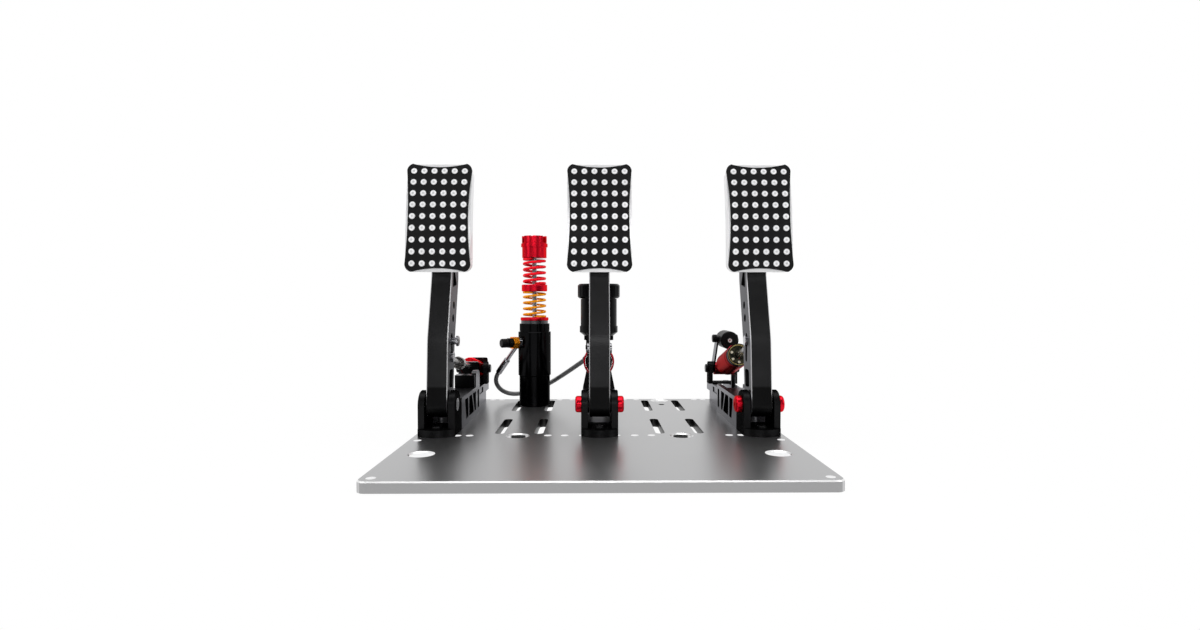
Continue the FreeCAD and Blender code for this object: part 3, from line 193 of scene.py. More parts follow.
def wire_coil(name, origin, axis, mean_r, wire_r, low, high, turns, start=0.0):
    """Round wire about an axis, between two heights along it.

    The angle grows evenly with the turns. The height rests for FLAT_TURNS at each end and grows
    evenly between. The wire's circle lies in the plane of the axis and the outward direction, and
    it shrinks almost to a point in the last tenth of a turn.
    """
    axis, side, up = frame_about(axis)
    phase = np.linspace(0, turns, int(turns * ROWS_PER_TURN) + 1)
    climb = np.clip((phase - FLAT_TURNS) / (turns - 2 * FLAT_TURNS), 0, 1)
    along = low + wire_r + climb * (high - low - 2 * wire_r)
    angle = 2 * np.pi * (phase + start)
    out = np.cos(angle)[:, None] * side + np.sin(angle)[:, None] * up
    centres = np.array(origin) + axis * along[:, None] + out * mean_r
    ring = np.linspace(0, 2 * np.pi, WIRE_SIDES, endpoint=False)
    to_end = np.minimum(phase, turns - phase)
    taper = np.minimum(1, to_end * 10 + 0.02) * wire_r
    spread = out[:, None, :] * np.cos(ring)[:, None] + axis * np.sin(ring)[:, None]
    return grid_piece(name, (centres[:, None, :] + spread * taper[:, None, None]) * MM)


dressed = []


def stands_for(piece, node, body, slot):
    """The piece takes the place of a CAD node, rides a body and wears a finish of the record."""
    if node:
        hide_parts(node)
    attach(piece, body)
    dressed.append((piece, slot))


SLAVE_X = -90.4
SLAVE_Y = 165.9
LOWER_SEAT_Z = 134.5
UPPER_END_Z = 218.7
slave_foot = (SLAVE_X, SLAVE_Y, 0.0)
lower = wire_coil("lower_coil", slave_foot, UP, 15.15, 1.45, LOWER_SEAT_Z, 171.3, 5.0, 0.25)
stands_for(lower, "lower_spring", "slave_piston", "orange_spring")
upper = wire_coil("upper_coil", slave_foot, UP, 14.6, 1.9, 180.9, UPPER_END_Z, 5.0, 0.25)
stands_for(upper, "upper_spring", "base", "red_spring")
print("two springs on the slave cylinder")

# %% [markdown]
# Two more springs push the clutch and the throttle back. They lie inside the barrels, on the line
# from the rear yoke to the pin in the arm, and their bare steel shows only when the set is taken
# apart. The places of yoke and pin are used again further down, where finishes follow the
# barrels.

# %% Springs inside the barrels
PEDAL_X = 179.3
YOKE_Y = 179.0
YOKE_Z = 60.5
ARM_PIN_Y = -15.5
ARM_PIN_Z = {"clutch": 95.0, "brake": 104.5, "throttle": 113.0}
BARREL_SPRING_R = 7.6


def strut(side):
    """The yoke's place, and the line from there to the pin in the arm, both in millimetres."""
    yoke = np.array((PEDAL_X if side == "throttle" else -PEDAL_X, YOKE_Y, YOKE_Z))
    return yoke, np.array((0.0, ARM_PIN_Y - YOKE_Y, ARM_PIN_Z[side] - YOKE_Z))


# For each side: the wire's radius, the spring's start and end along the strut, and its turns.
barrel_springs = {"clutch": (0.9, -18.0, 14.0, 7.0), "throttle": (1.1, 41.0, 92.0, 9.0)}
barrel_coils = {}
for side, (wire_r, low, high, turns) in barrel_springs.items():
    yoke, line = strut(side)
    coil = wire_coil(side + "_coil", yoke, line, BARREL_SPRING_R, wire_r, low, high, turns)
    stands_for(coil, side + "_spring", side + "_strut", "bare_spring")
    barrel_coils[side] = coil, tuple(unit(line)), tuple((yoke + unit(line) * low) * MM)
print("two springs inside the barrels")

# %% [markdown]
# A spring presses together when its pedal moves. The two in the barrels are pressed a hair
# further, so that they stay clear of their pistons. Here each of the four springs only gets a
# mesh of its own; the share of its length that each spring in the barrels would keep is listed,
# but not used.

# %% Springs get meshes of their own
for side, keep in {"clutch": 0.46, "throttle": 0.60}.items():
    coil, direction, anchor = barrel_coils[side]
    side + "_rod_slide"
    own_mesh(coil)
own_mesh(lower)
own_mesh(upper)

# %% [markdown]
# A rubber boot closes the red ring of the master cylinder. Its folds are circles about the push
# rod. From its rim to the rod the radius shrinks evenly, while the depth follows a line with a
# wave on it.

# %% Rubber boot
PUSH_SLOPE = 0.287
RING_FACE = 80.4
BOOT_SEGMENTS = 72
brake_pin = np.array((0.0, ARM_PIN_Y, ARM_PIN_Z["brake"]))
push_line = unit((0.0, 1.0, -PUSH_SLOPE))


def turned_piece(name, origin, axis, along, radius):
    """Surface of revolution: at each distance along the axis stands a circle of that radius."""
    axis, side, up = frame_about(axis)
    angle = np.linspace(0, 2 * np.pi, BOOT_SEGMENTS, endpoint=False)
    out = np.cos(angle)[:, None] * side + np.sin(angle)[:, None] * up
    middles = np.array(origin) + axis * along[:, None]
    return grid_piece(name, (middles[:, None, :] + out * radius[:, None, None]) * MM)


inwards = np.linspace(0, 1, 33)
fold_depth = 4.6 - 3.4 * inwards + 0.55 * np.cos(6 * np.pi * inwards)
fold_radius = 16.9 - 12.2 * inwards
ring_place = brake_pin + push_line * RING_FACE
boot = turned_piece("push_rod_boot", ring_place, push_line, fold_depth, fold_radius)
stands_for(boot, None, "base", "tube_black")
print("boot of", len(inwards), "rings")

# %% [markdown]
# Every finish below is a small calculation: noise, masks and colours are combined, and the result
# drives colour, roughness and bump. So that it reads like a calculation, a number that flows
# through a material is wrapped in a class that knows plus, minus, times and divided by.


# %% Numbers that flow through a material
class Signal:
    """A number in a tree of nodes; arithmetic on it adds Math nodes to the tree."""

    def __init__(self, owner, socket):
        self.owner = owner
        self.socket = socket

    def math(self, operation, *values):
        settings = {"operation": operation}
        return self.owner.node("ShaderNodeMath", settings, dict(enumerate(values)))

    def __add__(self, other):
        return self.math("ADD", self, other)

    def __radd__(self, other):
        return self.math("ADD", other, self)

    def __sub__(self, other):
        return self.math("SUBTRACT", self, other)

    def __rsub__(self, other):
        return self.math("SUBTRACT", other, self)

    def __mul__(self, other):
        return self.math("MULTIPLY", self, other)

    def __rmul__(self, other):
        return self.math("MULTIPLY", other, self)

    def __truediv__(self, other):
        return self.math("DIVIDE", self, other)

    def power(self, exponent):
        return self.math("POWER", self, exponent)

    def absolute(self):
        return self.math("ABSOLUTE", self)

    def zigzag(self, peak):
        """Rises to the peak and falls back to 0, again and again."""
        return self.math("PINGPONG", self, peak)

    def angle_over(self, run):
        """Angle of the slope that rises by this number over the run."""
        return self.math("ARCTAN2", self, run)

    def from_nearest(self, step):
        """How far the number is from the nearest whole number of steps."""
        return self - self.math("ROUND", self / step) * step

    def ramp(self, low, high, start=0.0, end=1.0):
        """Start below low, end above high and a smooth step between."""
        settings = {"interpolation_type": "SMOOTHSTEP"}
        inputs = {0: self, 1: low, 2: high, 3: start, 4: end}
        return self.owner.node("ShaderNodeMapRange", settings, inputs)

    def between(self, first, second):
        """First where the number is 0, second where it is 1."""
        return first + self * (second - first)

    def part(self, axis):
        """One component of a vector."""
        return self.owner.node("ShaderNodeSeparateXYZ", None, {0: self}, output=axis)


print("shader arithmetic ready")

# %% [markdown]
# The signals need a tree of nodes to live in. One class holds a tree and has a single method that
# adds any node to it. A finish is such a tree with a Principled shader at its end, and it knows
# the few things that all metals and plastics here are made of: noise, blends, bumps and
# directions.


# %% Trees and finishes
class Nodes:
    """A tree of nodes, and the one method that adds to it."""

    def __init__(self, tree):
        self.tree = tree

    def node(self, kind, settings=None, inputs=None, output=0):
        """Adds a node, applies its settings first, then fills its sockets with values or links."""
        added = self.tree.nodes.new(kind)
        for key, value in (settings or {}).items():
            setattr(added, key, value)
        for key, value in (inputs or {}).items():
            self.fill(added.inputs[key], value)
        return Signal(self, added.outputs[output])

    def fill(self, socket, value):
        """Links a signal to a socket, or sets the socket to a plain value."""
        if isinstance(value, Signal):
            self.tree.links.new(value.socket, socket)
        else:
            socket.default_value = value


class Finish(Nodes):
    """A material with one Principled shader; constants go straight onto the shader's sockets."""

    made = {}

    def __init__(self, name, **constants):
        self.material = bpy.data.materials.new(name)
        self.material.use_nodes = True
        super().__init__(self.material.node_tree)
        self.shader = self.tree.nodes["Principled BSDF"]
        for socket, value in constants.items():
            self.shader.inputs[socket.replace("_", " ")].default_value = value
        Finish.made[name] = self.material

    def set(self, socket, value):
        self.fill(self.shader.inputs[socket], value)

    def place(self):
        """The point's place in the piece's own coordinates, in metres."""
        return self.node("ShaderNodeTexCoord", output="Object")

    def normal(self):
        """The direction in which the face looks."""
        return self.node("ShaderNodeNewGeometry", output="Normal")

    def vector(self, operation, *values, output=0):
        settings = {"operation": operation}
        return self.node("ShaderNodeVectorMath", settings, dict(enumerate(values)), output)

    def offset_from(self, origin_mm):
        return self.vector("SUBTRACT", self.place(), tuple(np.array(origin_mm) * MM))

    def away_from_line(self, origin_mm, axis):
        """Distance from the line through origin along axis: the length of a cross product."""
        across = self.vector("CROSS_PRODUCT", self.offset_from(origin_mm), tuple(unit(axis)))
        return self.vector("LENGTH", across, output=1)

    def along_line(self, origin_mm, axis):
        """Distance from origin along that line: a dot product."""
        offset = self.offset_from(origin_mm)
        return self.vector("DOT_PRODUCT", offset, tuple(unit(axis)), output=1)

    def noise(self, scale, detail=3.0, stretch=(1, 1, 1), roughness=0.5):
        """Cloudy numbers about 0.5; stretch scales the axes, so a small number draws them out."""
        moved = self.node("ShaderNodeMapping", None, {"Vector": self.place(), "Scale": stretch})
        inputs = {"Vector": moved, "Scale": scale, "Detail": detail, "Roughness": roughness}
        return self.node("ShaderNodeTexNoise", {"normalize": True}, inputs)

    def mix(self, factor, first, second):
        """Blend of two colours."""
        inputs = {"Factor": factor, 6: first, 7: second}
        return self.node("ShaderNodeMix", {"data_type": "RGBA"}, inputs, output=2)

    def bump(self, height, strength, distance):
        inputs = {"Height": height, "Strength": strength, "Distance": distance}
        self.set("Normal", self.node("ShaderNodeBump", None, inputs))


def shade(colour, factor):
    """The same colour, lighter or darker, as the four numbers that a socket takes."""
    return tuple(min(1.0, c * factor) for c in colour) + (1.0,)


print("trees and finishes ready")

# %% [markdown]
# Anodised aluminium is blasted first, which leaves a fine frosted grain, and then dyed. The dye
# sits in a thin clear layer, so the colour is deep, the gloss is soft, and the tone drifts a
# little over the part. One function makes the whole family: black frames and arms, red caps and
# barrels, orange adapter.

# %% Anodised aluminium
FROSTED = 0.02


def anodised(name, colour, roughness, coat, edge, grain=0.0, detail=None):
    """Metal of one dye colour, with slow drift, frosted grain and a thin clear layer.

    Edge is how much brighter than the dye the metal turns where it is seen at a slant, and detail
    is a function that paints more onto the dye.
    """
    finish = Finish(name, Metallic=1.0, Coat_Weight=coat, Coat_Roughness=0.18,
                    Specular_Tint=shade(colour, edge))
    drift = finish.noise(28.0, 2.0)
    frost = finish.noise(2600.0, 2.0)
    dye = finish.mix(drift.ramp(0.3, 0.7), shade(colour, 0.9), shade(colour, 1.1))
    if detail:
        dye = detail(finish, dye)
    finish.set("Base Color", dye)
    finish.set("Roughness", roughness + (frost - 0.5) * 0.10 + (drift - 0.5) * 0.08)
    finish.bump(frost, grain, 0.00003)


anodised("black_anodised", (0.014, 0.014, 0.0145), 0.40, 0.02, 6.0, grain=FROSTED)
anodised("cylinder_black", (0.004, 0.004, 0.0045), 0.20, 0.10, 10.0)
anodised("red_anodised", (0.70, 0.006, 0.022), 0.32, 0.10, 1.1)
anodised("deep_red_anodised", (0.36, 0.024, 0.038), 0.30, 0.08, 1.6)
anodised("orange_anodised", (0.90, 0.30, 0.01), 0.24, 0.2, 1.0)
print(len(Finish.made), "plain anodised finishes")

# %% [markdown]
# Arms and frames carry painted light on chosen faces: lighter greys are painted highlight and
# sheen, and the arm is also painted darker where it lies in shade. The face's direction tells
# which: the square of its sideways part is 1 on a flank, one half on a chamfer and 0 on the
# front. Because the metal brightens strongly at a slant, the flanks look light from the driver's
# seat and dark from the side.

# %% Arms and frames
KNEE_Z = (62.0 * MM, 65.0 * MM)
BEHIND_PAD_Z = (188.0 * MM, 192.0 * MM)
FRAME_MIDDLE_Y = 0.0
FRAME_REAR_Y = 150.0 * MM


def arm_highlight_sheen_and_shade(finish, dye):
    """The arm: faces that lean halfway sideways are painted bright as a highlight, and its flanks
    are painted a little greyer as sheen.

    Below the knee and behind the pad the arm lies in shade, and there it is painted darker as
    shade.
    """
    height = finish.place().part("Z")
    shaded = (1 - height.ramp(*KNEE_Z)) + height.ramp(*BEHIND_PAD_Z)
    # painted shade: darker below the knee and behind the pad
    dye = finish.mix(shaded * 0.75, dye, (0.002, 0.002, 0.002, 1))
    sideways = finish.normal().part("X").power(2.0)
    # painted sheen: the flanks a little greyer
    dye = finish.mix(sideways.ramp(0.75, 0.95), dye, (0.10, 0.10, 0.102, 1))
    # painted highlight: bright faces that lean halfway sideways
    leaning = sideways.ramp(0.30, 0.40) * (1 - sideways.ramp(0.60, 0.70))
    return finish.mix(leaning, dye, (0.62, 0.62, 0.63, 1))


def frame_painted_sheen(finish, dye):
    """The frame: side walls are painted greyer as sheen, most of all towards the rear, and so are
    the top faces.
    """
    sideways = finish.normal().part("X").power(2.0).ramp(0.75, 0.95)
    rearwards = finish.place().part("Y").ramp(FRAME_MIDDLE_Y, FRAME_REAR_Y)
    # painted sheen on the side walls, lighter towards the rear
    grey = finish.mix(rearwards, (0.06, 0.06, 0.061, 1), (0.14, 0.14, 0.142, 1))
    dye = finish.mix(sideways, dye, grey)
    # painted sheen on the top faces, half as strong
    upward = finish.normal().part("Z").ramp(0.6, 0.9)
    return finish.mix(upward * 0.5, dye, (0.12, 0.12, 0.122, 1))


anodised("arm_black", (0.028, 0.028, 0.029), 0.40, 0.05, 26.0, FROSTED, arm_highlight_sheen_and_shade)
anodised("frame_black", (0.012, 0.012, 0.0125), 0.30, 0.05, 70.0, FROSTED, frame_painted_sheen)
print("arms and frames finished")

# %% [markdown]
# Two red parts carry painted light. The ring of the master cylinder has painted shade inside a
# painted highlight line, told apart by the distance from the push rod. The clutch barrel is red on
# top and painted black below as shade, with a painted highlight line between, and the parting
# follows the strut's slope.

# %% Ring and clutch barrel
# Radii and heights of the painted shade and the painted highlight lines on ring and barrel.
RING_SHADE_R = (16.6 * MM, 16.8 * MM)
RING_HIGHLIGHT_R = (17.2 * MM, 17.4 * MM)
BARREL_SHADE_TOP = (6.8 * MM, 7.0 * MM)
BARREL_HIGHLIGHT_TOP = (7.8 * MM, 8.0 * MM)


def ring_painted_shade_and_highlight(finish, dye):
    """Red outside, a bright line as painted highlight, and black inside as painted shade, by the
    distance from the push rod.
    """
    away = finish.away_from_line(brake_pin, push_line)
    # painted highlight: a bright line at the inner edge of the red
    dye = finish.mix(1 - away.ramp(*RING_HIGHLIGHT_R), dye, (0.60, 0.60, 0.60, 1))
    # painted shade: black inside the ring
    return finish.mix(1 - away.ramp(*RING_SHADE_R), dye, (0.004, 0.004, 0.004, 1))


def barrel_painted_shade_and_highlight(finish, dye):
    """Red above, a bright line as painted highlight, and black below as painted shade, by the
    height above the barrel's axis.
    """
    rise = (ARM_PIN_Z["clutch"] - YOKE_Z) / (ARM_PIN_Y - YOKE_Y)
    axis_height = (finish.place().part("Y") - YOKE_Y * MM) * rise + YOKE_Z * MM
    above = finish.place().part("Z") - axis_height
    # painted highlight: a bright line where the red ends
    dye = finish.mix(1 - above.ramp(*BARREL_HIGHLIGHT_TOP), dye, (0.50, 0.50, 0.51, 1))
    # painted shade: black below the line
    return finish.mix(1 - above.ramp(*BARREL_SHADE_TOP), dye, (0.005, 0.005, 0.005, 1))


anodised("ring_red", (0.30, 0.004, 0.012), 0.30, 0.05, 1.1, detail=ring_painted_shade_and_highlight)
anodised("barrel_red", (0.80, 0.010, 0.020), 0.34, 0.0, 1.0, detail=barrel_painted_shade_and_highlight)
print("ring and clutch barrel finished")

# %% [markdown]
# Pins, rods and inner springs are bare steel from a lathe or a drawing die. The tool leaves fine
# lines, which are noise squeezed in one direction, and they show in the gloss more than in the
# colour.


# %% Turned and drawn steel
def turned(name, colour, roughness):
    """Bare metal with fine lines: noise squeezed thirty times along Z."""
    finish = Finish(name, Metallic=1.0)
    lines = finish.noise(30.0, 4.0, stretch=(1.0, 1.0, 30.0))
    cloud = finish.noise(60.0, 2.0)
    finish.set("Base Color", finish.mix(cloud, shade(colour, 0.88), shade(colour, 1.1)))
    finish.set("Roughness", roughness + (lines - 0.5) * 0.16 + (cloud - 0.5) * 0.08)
    finish.bump(lines, 0.06, 0.00003)


turned("piston_grey", (0.10, 0.10, 0.105), 0.30)
turned("pin_steel", (0.40, 0.40, 0.42), 0.22)
turned("rod_steel", (0.17, 0.16, 0.155), 0.24)
turned("bare_spring", (0.12, 0.12, 0.125), 0.30)
print("turned and drawn steel made")

# %% [markdown]
# The throttle barrel ends in a small circuit: a black outer ring, a thin ring of brass and a dark
# board on which five cream terminals stand. All are told apart by their distance from the
# barrel's axis and along it. The sensor's screw is bright around a dark red socket, and dark at
# its rim.

# %% Terminals and screw
TERMINAL_FOOT = (109.4 * MM, 109.6 * MM)
TERMINAL_REACH_R = (12.0 * MM, 12.4 * MM)
BRASS_INNER_R = (12.2 * MM, 12.4 * MM)
BRASS_OUTER_R = (13.2 * MM, 13.4 * MM)
SENSOR_SCREW = (PEDAL_X, 127.0, 104.0)
SOCKET_R = (0.9 * MM, 1.2 * MM)
SCREW_RIM_R = (2.6 * MM, 2.9 * MM)


def terminal_board(name):
    """Ring, brass and board by the distance from the barrel's axis; terminals by their height."""
    finish = Finish(name, Specular_IOR_Level=0.1)
    away = finish.away_from_line(*strut("throttle"))
    along = finish.along_line(*strut("throttle"))
    grain = finish.noise(260.0, 3.0)
    board = finish.mix(grain.ramp(0.45, 0.6), (0.010, 0.011, 0.008, 1), (0.045, 0.042, 0.026, 1))
    raised = along.ramp(*TERMINAL_FOOT) * (1 - away.ramp(*TERMINAL_REACH_R))
    colour = finish.mix(raised, board, (0.62, 0.56, 0.44, 1))
    brass_ring = away.ramp(*BRASS_INNER_R) * (1 - away.ramp(*BRASS_OUTER_R))
    colour = finish.mix(brass_ring, colour, (0.50, 0.40, 0.16, 1))
    colour = finish.mix(away.ramp(*BRASS_OUTER_R), colour, (0.006, 0.006, 0.006, 1))
    finish.set("Base Color", colour)
    finish.set("Roughness", 0.36 + (grain - 0.5) * 0.1)


def sensor_screw_head(name):
    """Three rings by the distance from the screw's axis: socket, bright head and dark rim."""
    finish = Finish(name, Metallic=0.6)
    away = finish.away_from_line(SENSOR_SCREW, (0.0, 1.0, 0.0))
    wear = finish.noise(700.0, 2.0)
    colour = finish.mix(wear, (0.70, 0.66, 0.65, 1), (0.85, 0.82, 0.81, 1))
    colour = finish.mix(1 - away.ramp(*SOCKET_R), colour, (0.25, 0.03, 0.03, 1))
    colour = finish.mix(away.ramp(*SCREW_RIM_R), colour, (0.010, 0.010, 0.010, 1))
    finish.set("Base Color", colour)
    finish.set("Roughness", 0.34 + (wear - 0.5) * 0.1)


terminal_board("brass")
sensor_screw_head("sensor_screw_steel")
print("terminals and screw made")

# %% [markdown]
# The base plate is a large sheet, sanded in one direction and then anodised clear. It mirrors the
# pedals as long soft streaks. Which way a face looks tells the top, the chamfers and the walls
# apart. In the photograph the chamfers are bright, the walls of the slots are dark and the walls
# of the holes in front of and behind the slots are bright. Here the chamfers carry a painted
# highlight, the walls of the slots painted shade, and the walls of the holes a glow, a painted
# light.

# %% Base plate
SIDE_RIM_X = (200.0 * MM, 203.5 * MM)
END_RIM_Y = (215.0 * MM, 216.5 * MM)
SLOTS_START_Y = (-34.0 * MM, -32.0 * MM)
SLOTS_END_Y = (204.5 * MM, 205.5 * MM)


def satin_plate(name):
    """Sanded top: noise drawn out along X. Walls: painted shade among the slots and a painted glow
    elsewhere; chamfers: a painted highlight.
    """
    finish = Finish(name, Metallic=1.0, Emission_Strength=0.55)
    sanded = finish.noise(240.0, 4.0, stretch=(1.0, 26.0, 26.0))
    cloud = finish.noise(9.0, 2.0)
    frost = finish.noise(1500.0, 2.0)
    top = finish.normal().part("Z").ramp(0.90, 0.99)
    chamfer = finish.normal().part("Z").ramp(0.3, 0.6)
    x = finish.place().part("X")
    y = finish.place().part("Y")

    inside = (1 - x.absolute().ramp(*SIDE_RIM_X)) * (1 - y.absolute().ramp(*END_RIM_Y))
    wall = inside * (1 - chamfer)
    among_slots = y.ramp(*SLOTS_START_Y) * (1 - y.ramp(*SLOTS_END_Y))
    glowing = wall * (1 - among_slots)
    # painted light: the walls of the holes glow
    finish.set("Emission Color", finish.mix(glowing, (0, 0, 0, 1), (1, 1, 1, 1)))

    top_colour = finish.mix(sanded, (0.375, 0.375, 0.38, 1), (0.405, 0.405, 0.41, 1))
    edge_colour = finish.mix(sanded, (0.37, 0.37, 0.374, 1), (0.42, 0.42, 0.424, 1))
    # painted highlight: bright chamfers
    edge_colour = finish.mix(chamfer, edge_colour, (0.85, 0.85, 0.85, 1))
    # painted shade: dark walls among the slots
    edge_colour = finish.mix(wall * among_slots, edge_colour, (0.04, 0.04, 0.04, 1))
    finish.set("Base Color", finish.mix(top, edge_colour, top_colour))

    fine = (sanded - 0.5) * 0.03 + (frost - 0.5) * 0.02
    finish.set("Roughness", 0.30 + fine + (cloud - 0.5) * 0.04 + (1 - top) * 0.08)


satin_plate("plate_satin")
print("plate made")

# %% [markdown]
# The pads carry a black plate with bright studs on a machined body. The plate is matt, with a
# grain like fine emery cloth. Each stud is turned: a grey centre, a bright ring and a duller rim.
# The studs lie on a cylinder about an axis behind the pads, six across and nine along its arc, so
# the distance from a stud's centre follows from the angle about that axis and the place across
# the pad.

# %% Pads
STUD_ACROSS = 11.32 * MM
STUD_ALONG = 13.17 * MM
PAD_RADIUS = 397.0 * MM
PAD_AXIS_Y = 363.0 * MM
PAD_AXIS_Z = 199.9 * MM


def machined_silver(name):
    """Milled and lightly blasted aluminium with faint tool paths."""
    finish = Finish(name, Metallic=0.4)
    paths = finish.noise(70.0, 4.0, stretch=(1.0, 14.0, 3.0))
    frost = finish.noise(1800.0, 2.0)
    finish.set("Base Color", finish.mix(paths, (0.78, 0.78, 0.79, 1), (0.86, 0.86, 0.87, 1)))
    finish.set("Roughness", 0.34 + (paths - 0.5) * 0.10 + (frost - 0.5) * 0.04)


def grip_plate(name):
    """Matt black with fine sharp grain and a little wear in soft patches."""
    finish = Finish(name, Specular_IOR_Level=0.08)
    grain = finish.noise(1900.0, 3.0, roughness=0.7)
    wear = finish.noise(40.0, 4.0).ramp(0.55, 0.78)
    dark = finish.mix(grain, (0.005, 0.005, 0.0055, 1), (0.011, 0.011, 0.0115, 1))
    finish.set("Base Color", finish.mix(wear * 0.25, dark, (0.020, 0.020, 0.021, 1)))
    finish.set("Roughness", 0.52 + (grain - 0.5) * 0.20 - wear * 0.06)
    finish.bump(grain, 0.04, 0.00004)


def stud_top(name):
    """Bright turned steel whose colour follows the distance from the nearest stud's centre.

    Across the pad that is the distance from the nearest column of studs. Along it, it is the angle
    about the pads' axis times their radius, measured from the nearest row.
    """
    finish = Finish(name, Metallic=0.30)
    frost = finish.noise(2400.0, 2.0)
    cloud = finish.noise(160.0, 2.0)
    from_pedal = finish.place().part("X").from_nearest(PEDAL_X * MM)
    across = (from_pedal + STUD_ACROSS / 2).from_nearest(STUD_ACROSS)
    above_axis = finish.place().part("Z") - PAD_AXIS_Z
    angle = above_axis.angle_over(PAD_AXIS_Y - finish.place().part("Y"))
    along = (angle * PAD_RADIUS).from_nearest(STUD_ALONG)
    away = (across.power(2.0) + along.power(2.0)).power(0.5)
    centre = 1 - away.ramp(0.8 * MM, 1.9 * MM)
    rim = away.ramp(2.6 * MM, 3.3 * MM)
    steel = finish.mix(cloud, (0.78, 0.78, 0.79, 1), (0.86, 0.86, 0.87, 1))
    steel = finish.mix(centre * 0.45, steel, (0.40, 0.40, 0.405, 1))
    finish.set("Base Color", finish.mix(rim * 0.55, steel, (0.40, 0.40, 0.405, 1)))
    finish.set("Roughness", 0.42 + (frost - 0.5) * 0.08 + (cloud - 0.5) * 0.06)
    finish.bump(frost, 0.02, 0.00002)


machined_silver("silver_machined")
grip_plate("grip_black")
stud_top("stud_steel")
print("pad finishes made")

# %% [markdown]
# The coloured springs are powder coated: a thick paint with an orange-peel skin. Screws are black
# oxide, which is steel with a thin dull skin that wears through at raised places. The reservoir
# and the sensor housing are moulded plastic, and the boot and the feed tube are rubber.


# %% Paint, oxide, plastic and rubber
def powder_coat(name, colour):
    """Paint with a soft orange peel: low waves in the surface."""
    finish = Finish(name, Specular_IOR_Level=0.12)
    peel = finish.noise(500.0, 2.0)
    cloud = finish.noise(90.0, 2.0)
    finish.set("Base Color", finish.mix(cloud, shade(colour, 0.88), shade(colour, 1.12)))
    finish.set("Roughness", 0.50 + (peel - 0.5) * 0.1)
    finish.bump(peel, 0.04, 0.00004)


def black_oxide(name):
    """Near black, with grey wear where the noise is highest."""
    finish = Finish(name, Metallic=0.85)
    wear = finish.noise(420.0, 4.0).ramp(0.66, 0.84)
    grain = finish.noise(2200.0, 2.0)
    worn = finish.mix(wear * 0.4, (0.008, 0.008, 0.0085, 1), (0.10, 0.10, 0.105, 1))
    finish.set("Base Color", worn)
    finish.set("Roughness", 0.34 + (grain - 0.5) * 0.2 - wear * 0.1)
    finish.bump(grain, 0.03, 0.00004)


def moulded(name, colour, roughness, grain_scale, grain_depth, shine):
    """Moulded plastic or rubber with the spark-eroded grain of its tool."""
    finish = Finish(name, IOR=1.5, Specular_IOR_Level=shine)
    grain = finish.noise(grain_scale, 3.0)
    cloud = finish.noise(45.0, 2.0)
    finish.set("Base Color", finish.mix(cloud, shade(colour, 0.85), shade(colour, 1.2)))
    finish.set("Roughness", roughness + (grain - 0.5) * 0.16)
    finish.bump(grain, 0.12, grain_depth)


powder_coat("red_spring", (0.90, 0.004, 0.018))
powder_coat("orange_spring", (1.00, 0.34, 0.002))
black_oxide("screw_black")
moulded("reservoir_black", (0.003, 0.003, 0.0033), 0.14, 300.0, 0.00001, 0.05)
moulded("housing_black", (0.004, 0.004, 0.004), 0.36, 900.0, 0.00002, 0.08)
moulded("tube_black", (0.006, 0.006, 0.0065), 0.42, 700.0, 0.00004, 0.12)
print("paint, oxide, plastic and rubber made")

# %% [markdown]
# The hose shows its grey braid through a clear sleeve. The curve's own map runs along it and
# round it. Its sum and its difference follow the two ways in which the threads wind, so each of
# them, folded into a zigzag, is one family of threads, and their product is the braid.

# %% Braided hose
THREADS_ALONG = 130.0
THREADS_AROUND = 12.0


def braided(name):
    """Two zigzags that cross: one follows the sum of both directions, the other the difference."""
    finish = Finish(name, Coat_Weight=0.5, Coat_Roughness=0.14)
    uv = finish.node("ShaderNodeTexCoord", output="UV")
    along = uv.part("X") * THREADS_ALONG
    around = uv.part("Y") * THREADS_AROUND
    threads = (along + around).zigzag(0.5) * (along - around).zigzag(0.5) * 4.0
    cloud = finish.noise(80.0, 2.0)
    colour = finish.mix(threads, (0.09, 0.09, 0.092, 1), (0.24, 0.24, 0.245, 1))
    finish.set("Base Color", finish.mix(cloud * 0.4, colour, (0.15, 0.15, 0.155, 1)))
    finish.set("Roughness", 0.36 + (cloud - 0.5) * 0.12)
    finish.bump(threads, 0.12, 0.00012)


braided("hose_grey")
print(len(Finish.made), "finishes made")

# %% [markdown]
# Each node of the construction names its material slot in the record, and most finishes are
# handed out by that name. Some nodes share a slot with parts that look different in the
# photograph, so these get a finish of their own.

# %% Hand out the finishes
own_finishes = {
    "clutch_arm": "arm_black",
    "brake_arm": "arm_black",
    "throttle_arm": "arm_black",
    "clutch_frame": "frame_black",
    "brake_frame": "frame_black",
    "throttle_frame": "frame_black",
    "sensor_straps": "frame_black",
    "clutch_barrel": "barrel_red",
    "clutch_rod": "rod_steel",
    "bleed_cap": "housing_black",
    "master_ring": "ring_red",
    "sensor_screw": "sensor_screw_steel",
}
slot_of = {part["node"]: part["material_slot"] for part in frame["record"]["subparts"]}
for name, piece in nodes.items():
    piece.data.materials.clear()
    piece.data.materials.append(Finish.made[own_finishes.get(name, slot_of[name])])
hose.data.materials.append(Finish.made["hose_grey"])
for piece, slot in dressed:
    piece.data.materials.append(Finish.made[slot])
print(len(nodes), "nodes and", len(dressed) + 1, "new pieces dressed")

# %% [markdown]
# A packshot stands on white. The floor is pale and keeps a trace of the set's shadow. To the
# camera and in mirror-like metals it also glows: fully away from the set and beneath the plate,
# and a little less in the band around the plate's edge, where the shadow lies.

# %% Floor
FLOOR_REACH = 6.0
UNDER_THE_PLATE = 0.2 * MM

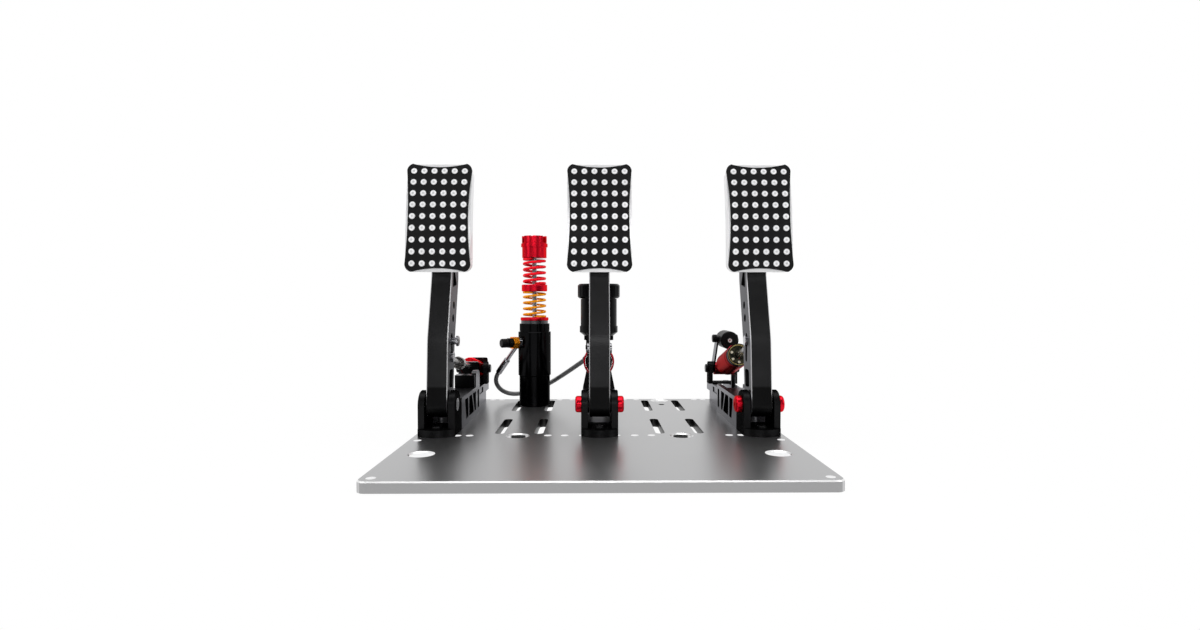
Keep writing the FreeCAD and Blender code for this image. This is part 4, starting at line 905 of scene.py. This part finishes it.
floor_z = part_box("base_plate")[0][2] - UNDER_THE_PLATE
corners = np.array([(-1, -1), (1, -1), (1, 1), (-1, 1)]) * FLOOR_REACH
floor_points = np.column_stack([corners, np.full(4, floor_z)])
floor_mesh = bpy.data.meshes.new("studio_floor")
floor_mesh.from_pydata(floor_points.tolist(), [], [(0, 1, 2, 3)])
floor = bpy.data.objects.new("studio_floor", floor_mesh)
scene.collection.objects.link(floor)

pale = Finish("studio_white", Base_Color=(0.85, 0.85, 0.85, 1), Roughness=0.9)
camera_rays = pale.node("ShaderNodeLightPath", output="Is Camera Ray")
mirror_rays = pale.node("ShaderNodeLightPath", output="Is Glossy Ray")
floor_x = pale.place().part("X").absolute()
floor_y = pale.place().part("Y").absolute()
around_set = floor_x.ramp(0.21, 0.45) + floor_y.ramp(0.22, 0.50)
beneath = (1 - floor_x.ramp(0.17, 0.205)) * (1 - floor_y.ramp(0.19, 0.2175))
glowing = (camera_rays + mirror_rays) * (0.96 + (around_set + beneath) * 0.04)
glow = pale.node("ShaderNodeEmission", None, {"Color": (1, 1, 1, 1), "Strength": 1.0})
painted = Signal(pale, pale.shader.outputs[0])
blend = pale.node("ShaderNodeMixShader", None, {0: glowing, 1: painted, 2: glow})
pale.fill(pale.tree.nodes["Material Output"].inputs["Surface"], blend)
floor.data.materials.append(pale.material)
print("floor at", round(floor_z / MM, 2), "mm")

# %% [markdown]
# The room around the set is white to the camera. Mirror-like metals see white behind the set,
# while the side of the studio where the camera stands is dim, so black parts stay black and only
# their edges catch the light. The room's own soft light is half as strong as white.

# %% Room
SOFT_LIGHT = 0.50
world = bpy.data.worlds.new("studio")
scene.world = world
world.use_nodes = True
sky = Nodes(world.node_tree)
rearwards = sky.node("ShaderNodeTexCoord", output="Generated").part("Y")
in_mirrors = rearwards.ramp(-0.25, 0.30, start=0.10, end=1.0)
camera_rays = sky.node("ShaderNodeLightPath", output="Is Camera Ray")
mirror_rays = sky.node("ShaderNodeLightPath", output="Is Glossy Ray")
strength = camera_rays.between(mirror_rays.between(SOFT_LIGHT, in_mirrors), 1.0)
background = world.node_tree.nodes["Background"]
sky.fill(background.inputs["Strength"], strength)
sky.fill(background.inputs["Color"], (1, 1, 1, 1))
print("room with", len(world.node_tree.nodes), "nodes")

# %% [markdown]
# Four softboxes light the set: a large one above, one at each side and a low strip in front.
# Large lamps give soft shadows and long soft streaks on the metal.


# %% Lamps
def softbox(name, place, target, width, height, power):
    """Rectangular lamp that looks at a point."""
    lamp = bpy.data.lights.new(name, "AREA")
    lamp.shape = "RECTANGLE"
    lamp.size = width
    lamp.size_y = height
    lamp.energy = power
    holder = bpy.data.objects.new(name, lamp)
    holder.location = place
    aim = Vector(target) - Vector(place)
    holder.rotation_euler = aim.to_track_quat("-Z", "Y").to_euler()
    scene.collection.objects.link(holder)


softbox("softbox_top", (0.0, -0.1, 1.6), (0, 0, 0.1), 1.4, 1.0, 14.0)
softbox("softbox_left", (-1.3, -0.7, 0.9), (0, 0, 0.12), 0.5, 1.1, 7.0)
softbox("softbox_right", (1.3, -0.7, 0.9), (0, 0, 0.12), 0.5, 1.1, 7.0)
softbox("softbox_front", (0.0, -1.9, 0.75), (0, 0, 0.15), 1.0, 0.35, 6.0)
scene.view_settings.view_transform = "Standard"
print("studio ready")
